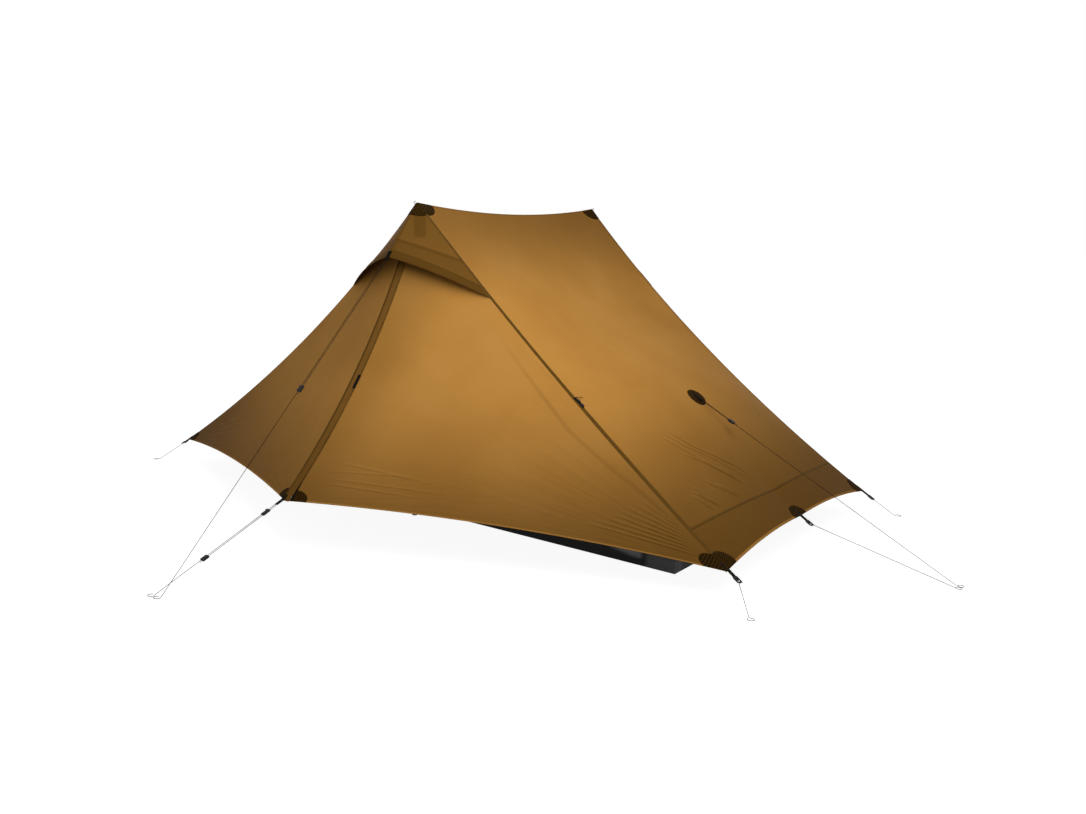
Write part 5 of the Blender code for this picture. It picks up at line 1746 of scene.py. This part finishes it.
@dataclass
class Lines:
    """Guylines of braided cord, each from its strap to a loop on the ground for a peg.

    Attributes:
        fly: The fly that they hold.
        cord: Their diameter.
        spacing: Distance between the strands of a doubled run.
        tail: How far a doubled run's end reaches past its line-lock.
        loop_radius: Size of the peg's loop.
        hood_lock: Share along the hood's line where its line-lock sits.
        vestibule_lock: The same on the vestibule's line.
        roof_lock: The same on the roof's line.
    """

    fly: Fly
    cord: float = 2 * MM
    spacing: float = 8 * MM
    tail: float = 26 * MM
    loop_radius: float = 12 * MM
    hood_lock: float = 0.425
    vestibule_lock: float = 0.62
    roof_lock: float = 0.125

    def peg_loop(self, end: Vector, forward: Vector) -> list[Vector]:
        """Points of a loop lying flat at the end of a line."""
        along = Vector((forward.x, forward.y, 0)).normalized()
        aside = UP.cross(along)
        spots = ((0.6, 0.45), (1.35, 0.95), (2.15, 0.55), (2.15, -0.55), (1.35, -0.95), (0.6, -0.45))
        return [end + (along * a + aside * b) * self.loop_radius for a, b in spots]

    @staticmethod
    def smooth(points: Sequence[Vector], steps: Sequence[int]) -> list[Vector]:
        """Points along a smooth curve through a route's points, a number of steps for each stretch."""
        ends = [2 * points[0] - points[1], *points, 2 * points[-1] - points[-2]]
        route = []
        for i, count in enumerate(steps):
            before, start, end, after = ends[i:i + 4]
            reach = (end - start).length
            leave = (end - before).normalized() * reach
            arrive = (after - start).normalized() * reach
            for t in shares(count)[:-1]:
                point = (2 * t ** 3 - 3 * t ** 2 + 1) * start + (3 * t ** 2 - 2 * t ** 3) * end
                route.append(point + (t ** 3 - 2 * t ** 2 + t) * leave + (t ** 3 - t ** 2) * arrive)
        return route + [points[-1]]

    def lay(self, stem: str, points: Sequence[Vector], steps: Sequence[int], pieces: Sequence[str] = ()) -> None:
        """Args:
            stem: Start of its name and of its node's.
            points: The corners of its middle line.
            steps: Steps between each two of them.
            pieces: Pieces on it.
        """
        route = self.smooth(points, steps)
        curve = bpy.data.curves.new(stem + "_line", "CURVE")
        curve.dimensions = "3D"
        curve.bevel_depth = self.cord / 2
        curve.bevel_resolution = 3
        curve.use_fill_caps = True
        spline = curve.splines.new("POLY")
        spline.points.add(len(route) - 1)
        for place, point in zip(spline.points, route):
            place.co = (*point, 1)
        facts = {"exit": route[0], "length": distances(route)[-1], "diameter": self.cord, "far_end": "knot",
                 "stiffness": "limp", "lay": "taut", "with_pieces": pieces}
        self.fly.fitter.fit(link(stem + "_line", curve), Dress.CORD, stands_for=[stem + "_guyline"], cord=facts)

    def doubled(self, stem: str, top: Vector, ground: Vector, lock: float, aside: Vector,
                more: Sequence[str] = ()) -> None:
        """Guyline that starts at its lock, runs up round its strap, and comes back down to its peg.

        Args:
            stem: Start of its name, of its node's and of its line-lock's.
            top: Where it turns at its strap.
            ground: Its peg.
            lock: Share along it where its line-lock sits.
            aside: The way in which its strands lie apart.
            more: Other pieces on it.
        """
        forward = (ground - top).normalized()
        half = aside * self.spacing / 2
        tail = top.lerp(ground, lock) + forward * self.tail
        turn = top + forward * self.spacing / 2
        loop = self.peg_loop(ground - half, forward)
        points = [tail + half, turn + half, top, turn - half, tail - half, ground - half, *loop]
        self.lay(stem, points, [1, 5, 5, 1, 1, 1] + [4] * (len(loop) - 1), [stem + "_line_lock", *more])

    def single(self, stem: str, top: Vector, ground: Vector) -> None:
        """Guyline straight from its strap to its peg."""
        loop = self.peg_loop(ground, ground - top)
        self.lay(stem, [top, ground, *loop], [1, 1] + [4] * (len(loop) - 1))

    def build(self) -> None:
        """Every guyline of the near side and the right end, with their copies."""
        shape = self.fly.shape
        self.doubled("near_hood", shape.hood_frame() @ mm(13.3, 0, 1.6), shape.hood_peg, self.hood_lock, ALONG)
        top = shape.zip_foot(shape.vestibule_peg) @ mm(35.3, 0, 1.6)
        self.doubled("near_vestibule", top, shape.vestibule_peg, self.vestibule_lock, ALONG, ["near_line_tensioner"])
        top = shape.strap_frame(0.5, shape.tieout_share, peg=shape.roof_peg) @ mm(29.3, 0, 1.6)
        self.doubled("right_roof", top, shape.roof_peg, self.roof_lock, UP.cross(shape.roof_peg - top).normalized())
        self.single("right_end", shape.strap_frame(0.5, 1) @ mm(45.8, 0, 1.6), shape.end_peg)
        top = shape.strap_frame(0, 1, shape.corner_aside) @ mm(45.8, 0, 1.6)
        self.single("near_right_corner", top, shape.corner_peg)
        self.single("far_right_corner", across_tent(top), across_tent(shape.corner_peg))


# -------------------- the inner tent


@dataclass
class Inner:
    """Inner tent: mesh canopy and doors over a bathtub floor.

    Attributes:
        shape: Its pitched shape.
        fitter: What puts its pieces on their bodies.
    """

    shape: InnerShape
    fitter: Fitter

    def build(self) -> None:
        """Canopy, mesh doors and tub."""
        shape, fit = self.shape, self.fitter.fit
        canopy = Cloth(shape.canopy, UP, Slack(3.0, 1.1, (), (), 1.2 * MM, 0.3 * MM, 2.2), 0.5 * MM)
        piece = sheet("mesh_canopy", canopy, shares(120), shares(44), (3.0, 1.1), 0.4 * MM)
        fit(piece, Dress.NET, stands_for=["inner_canopy"], twin=False, cut=(3.06, 1.2, 3.44))
        door = Cloth(shape.door, -ACROSS, Slack(1.2, 1.0, (), (), 0.8 * MM, 0.2 * MM, 3.3), -0.3 * MM)
        piece = sheet("near_mesh_door_net", door, shares(70), shares(56), (1.4, 1.0), 0.4 * MM)
        fit(piece, Dress.NET, "near_mesh_door", ["near_inner_door"], cut=(2.31, 0.96, 1.07))
        self.tub()

    def lit(self, point: Vector) -> float:
        """How much painted highlight a point of the tub gets: on a slack fold face beside the corner, and on the dart
        in it.
        """
        along, side = (-math.copysign(1, point.y) * point.x), abs(point.y)
        if side < self.shape.floor_half_width - 0.05 or point.z < 0.002:
            return 0.0
        fold = 0.115 - 0.095 * ease(along, 0.55, 1.02)
        facet = ease(along, 0.55, 0.75) * (1 - ease(along, 1.020, 1.026)) * ease(point.z, fold - 0.003, fold + 0.016)
        dart_highlight = ease(along, 1.035, 1.04) * (1 - ease(point.z, 0.03, 0.09)) * 0.35
        return min(1.0, facet * 0.75 + dart_highlight)

    def wall(self, point: Vector, run: float, up: float) -> Vector:
        """Point of the tub's wall.

        Args:
            point: The point of the floor's outline under it.
            run: Distance of that point along the outline.
            up: Share of the wall's height.

        Returns:
            The point, leaning inwards and hanging a little slack.
        """
        shape, sliver = self.shape, 1e-6
        long, wide, inward = shape.floor_half_length, shape.floor_half_width, shape.tub_lean * up
        out = Vector((point.x if abs(point.x) > long - sliver else 0, point.y if abs(point.y) > wide - sliver else 0,
                      0)).normalized()
        corner = long - abs(point.x) + wide - abs(point.y)
        hang = 4.5 * MM * arch(up) * noise.noise(Vector((run * 3.2, up * 1.3, 0.7)))
        hang += 2.4 * MM * arch(up) * noise.noise(Vector((run * 13, up * 3.0, 5.7)))
        hang *= ease(corner, 0.0, 0.12)
        foot = Vector((point.x * (1 - inward / long), point.y * (1 - inward / wide), 0))
        return foot - out * (0.6 * MM + abs(hang)) + UP * (shape.tub_height * up - 4 * MM * ease(corner, 0, 0.5) * up)

    def tub(self) -> None:
        """Bathtub floor with its slack walls."""
        long, wide = self.shape.floor_half_length, self.shape.floor_half_width
        outline = []
        for start, end, count in (((long, -wide), (long, wide), 54), ((long, wide), (-long, wide), 110),
                                  ((-long, wide), (-long, -wide), 54), ((-long, -wide), (long, -wide), 110)):
            outline += [Vector((*start, 0)).lerp(Vector((*end, 0)), t) for t in shares(count)[:-1]]
        runs = distances(outline)
        levels = shares(36)
        rows = [[self.wall(point, run, up) for point, run in zip(outline, runs)] for up in levels]
        places = [[(run, self.shape.tub_height * up) for run in runs] for up in levels]
        piece = grid_mesh("bathtub_floor", rows, UP, places, True)
        bm = bmesh.new()
        bm.from_mesh(piece.data)
        bm.verts.ensure_lookup_table()
        floor = bm.faces.new(bm.verts[:len(outline)])
        bmesh.ops.triangulate(bm, faces=[floor])
        bmesh.ops.recalc_face_normals(bm, faces=bm.faces)
        bm.to_mesh(piece.data)
        bm.free()
        if sum(face.normal.z * face.area for face in piece.data.polygons if abs(face.normal.z) > 0.9) > 0:
            piece.data.flip_normals()
        thicken(piece, 0.9 * MM)
        settle(piece, 35)
        # Painted highlight on the tub's walls
        paint(piece, "facet", self.lit)
        self.fitter.fit(piece, Dress.TUB, stands_for=["floor_tub"], twin=False, cut=(2.6, 1.38, 3.52))


# -------------------- poles and kept solids


@dataclass
class KeptSolids:
    """Finishes of the hard pieces that keep their solids."""

    finishes: Finishes

    def dress(self) -> None:
        """Give each kept solid its material."""
        foam, tube_metal, plastic = self.finishes.foam, self.finishes.tube, self.finishes.plastic
        kinds = {"grip": foam, "upper_shaft": tube_metal, "lower_shaft": tube_metal, "lock_lever": plastic,
                 "line_lock": plastic, "zip_slider": plastic, "tie_back_toggle": plastic}
        for name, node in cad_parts.items():
            for ending, finish in kinds.items():
                if name.endswith(ending) and not node.hide_render:
                    node.data.materials.clear()
                    node.data.materials.append(finish)


# -------------------- studio


@dataclass(frozen=True)
class Studio:
    """Camera, floor and lights.

    Attributes:
        eye: The camera's place.
        yaw: Its turn from looking along Y, in degrees.
        pitch: Its tilt, in degrees.
        roll: Its roll, in degrees.
        focal: Its focal length in pixels of the photograph's width.
        width: The photograph's width in pixels.
        key: Power of the key lamp, in watts.
        low_fill: Power of the low lamp in front.
        back: Power of the lamp behind.
        ambient: Strength of the world's light.
        glow: How bright the floor is to the camera.
    """

    eye: tuple[float, float, float] = (2.7686, -3.6584, 1.2379)
    yaw: float = 35.1817
    pitch: float = -10.7131
    roll: float = 1.9524
    focal: float = 1039.4
    width: float = 1086.0
    key: float = 47.0
    low_fill: float = 2.5
    back: float = 30.0
    ambient: float = 0.24
    glow: float = 0.93

    def camera(self) -> None:
        """Camera at the photograph's angle."""
        yaw, pitch, roll = (math.radians(a) for a in (self.yaw, self.pitch, self.roll))
        ahead = Vector((-math.sin(yaw) * math.cos(pitch), math.cos(yaw) * math.cos(pitch), math.sin(pitch)))
        right = Vector((math.cos(yaw), math.sin(yaw), 0))
        up = right.cross(ahead)
        x = right * math.cos(roll) + up * math.sin(roll)
        y = up * math.cos(roll) - right * math.sin(roll)
        data = bpy.data.cameras.new("photo_camera")
        data.sensor_width = 36
        data.lens = self.focal / self.width * 36
        data.clip_end = 200
        made = link("photo_camera", data)
        made.matrix_world = Matrix.Translation(self.eye) @ Matrix((x, y, -ahead)).transposed().to_4x4()
        bpy.context.scene.camera = made

    @staticmethod
    def lamp(name: str, place: Vector, target: Vector, size: float, power: float) -> None:
        """Square soft lamp.

        Args:
            name: The object's name.
            place: Where it is.
            target: The point that it faces.
            size: Its side.
            power: Its power, in watts.
        """
        data = bpy.data.lights.new(name, "AREA")
        data.shape = "SQUARE"
        data.size = size
        data.energy = power
        made = link(name, data)
        made.visible_camera = False
        made.matrix_world = Matrix.Translation(place) @ (target - place).to_track_quat("-Z", "Y").to_matrix().to_4x4()

    @staticmethod
    def white_rays(tree: Tree) -> Socket:
        """One for the rays of the camera and of what mirrors, which see white, and nothing for the rest."""
        path = tree.add("LightPath").outputs
        mirrored_too = tree.math("MAXIMUM", path["Is Glossy Ray"], path["Is Transmission Ray"])
        return tree.math("MAXIMUM", path["Is Camera Ray"], mirrored_too)

    def lights(self) -> None:
        """Soft key close by on the right, weak fills low in front and behind, and a plain pale world."""
        self.lamp("key", Vector((1.48, -1.33, 2.4)), Vector((0.4, -0.5, 0.7)), 2.3, self.key)
        self.lamp("low_fill", Vector((-0.7, -3.0, 0.45)), Vector((0, -0.75, 1.0)), 1.2, self.low_fill)
        self.lamp("back_fill", Vector((-2.4, 2.6, 2.4)), Vector((0, 0.2, 0.6)), 2.0, self.back)
        world = bpy.context.scene.world = bpy.data.worlds.new("pale_world")
        tree = Tree(world, "Background")
        strength = tree.between(self.white_rays(tree), self.ambient, 1.0)
        tree.feed(tree.shader, {"Color": (1, 1, 1, 1), "Strength": strength})

    def floor(self) -> None:
        """Pale floor, white to the camera but for the tent's soft shadow."""
        deselect()
        bpy.ops.mesh.primitive_plane_add(size=80, location=(0, 0, -0.5 * MM))
        made = bpy.context.active_object
        made.name = "studio_floor"
        tree = Tree(bpy.data.materials.new("painted studio floor"))
        strength = tree.math("MULTIPLY", self.white_rays(tree), self.glow)
        tree.feed(tree.shader, {"Base Color": linear("#a8a8a8"), "Roughness": 1.0, "Specular IOR Level": 0.0,
                                "Emission Color": (1, 1, 1, 1), "Emission Strength": strength})
        made.data.materials.append(tree.owner)

    def build(self) -> None:
        """Set the whole studio up."""
        bpy.context.scene.view_settings.view_transform = "Standard"
        self.camera()
        self.lights()
        self.floor()


def main() -> None:
    """Dress the tent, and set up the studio."""
    logging.basicConfig(level=logging.INFO, format="%(message)s")
    deselect()
    Studio().build()
    shape = FlyShape()
    finishes = Finishes()
    fitter = Fitter(finishes, Fold(shape))
    fly = Fly(shape, fitter)
    hardware = Hardware(fly)
    hardware.vestibule()
    Lines(fly).build()
    fly.build()
    hardware.build()
    Inner(InnerShape(shape), fitter).build()
    KeptSolids(finishes).dress()
    log.info("%d pieces", fitter.count)


if __name__ == "__main__":
    main()
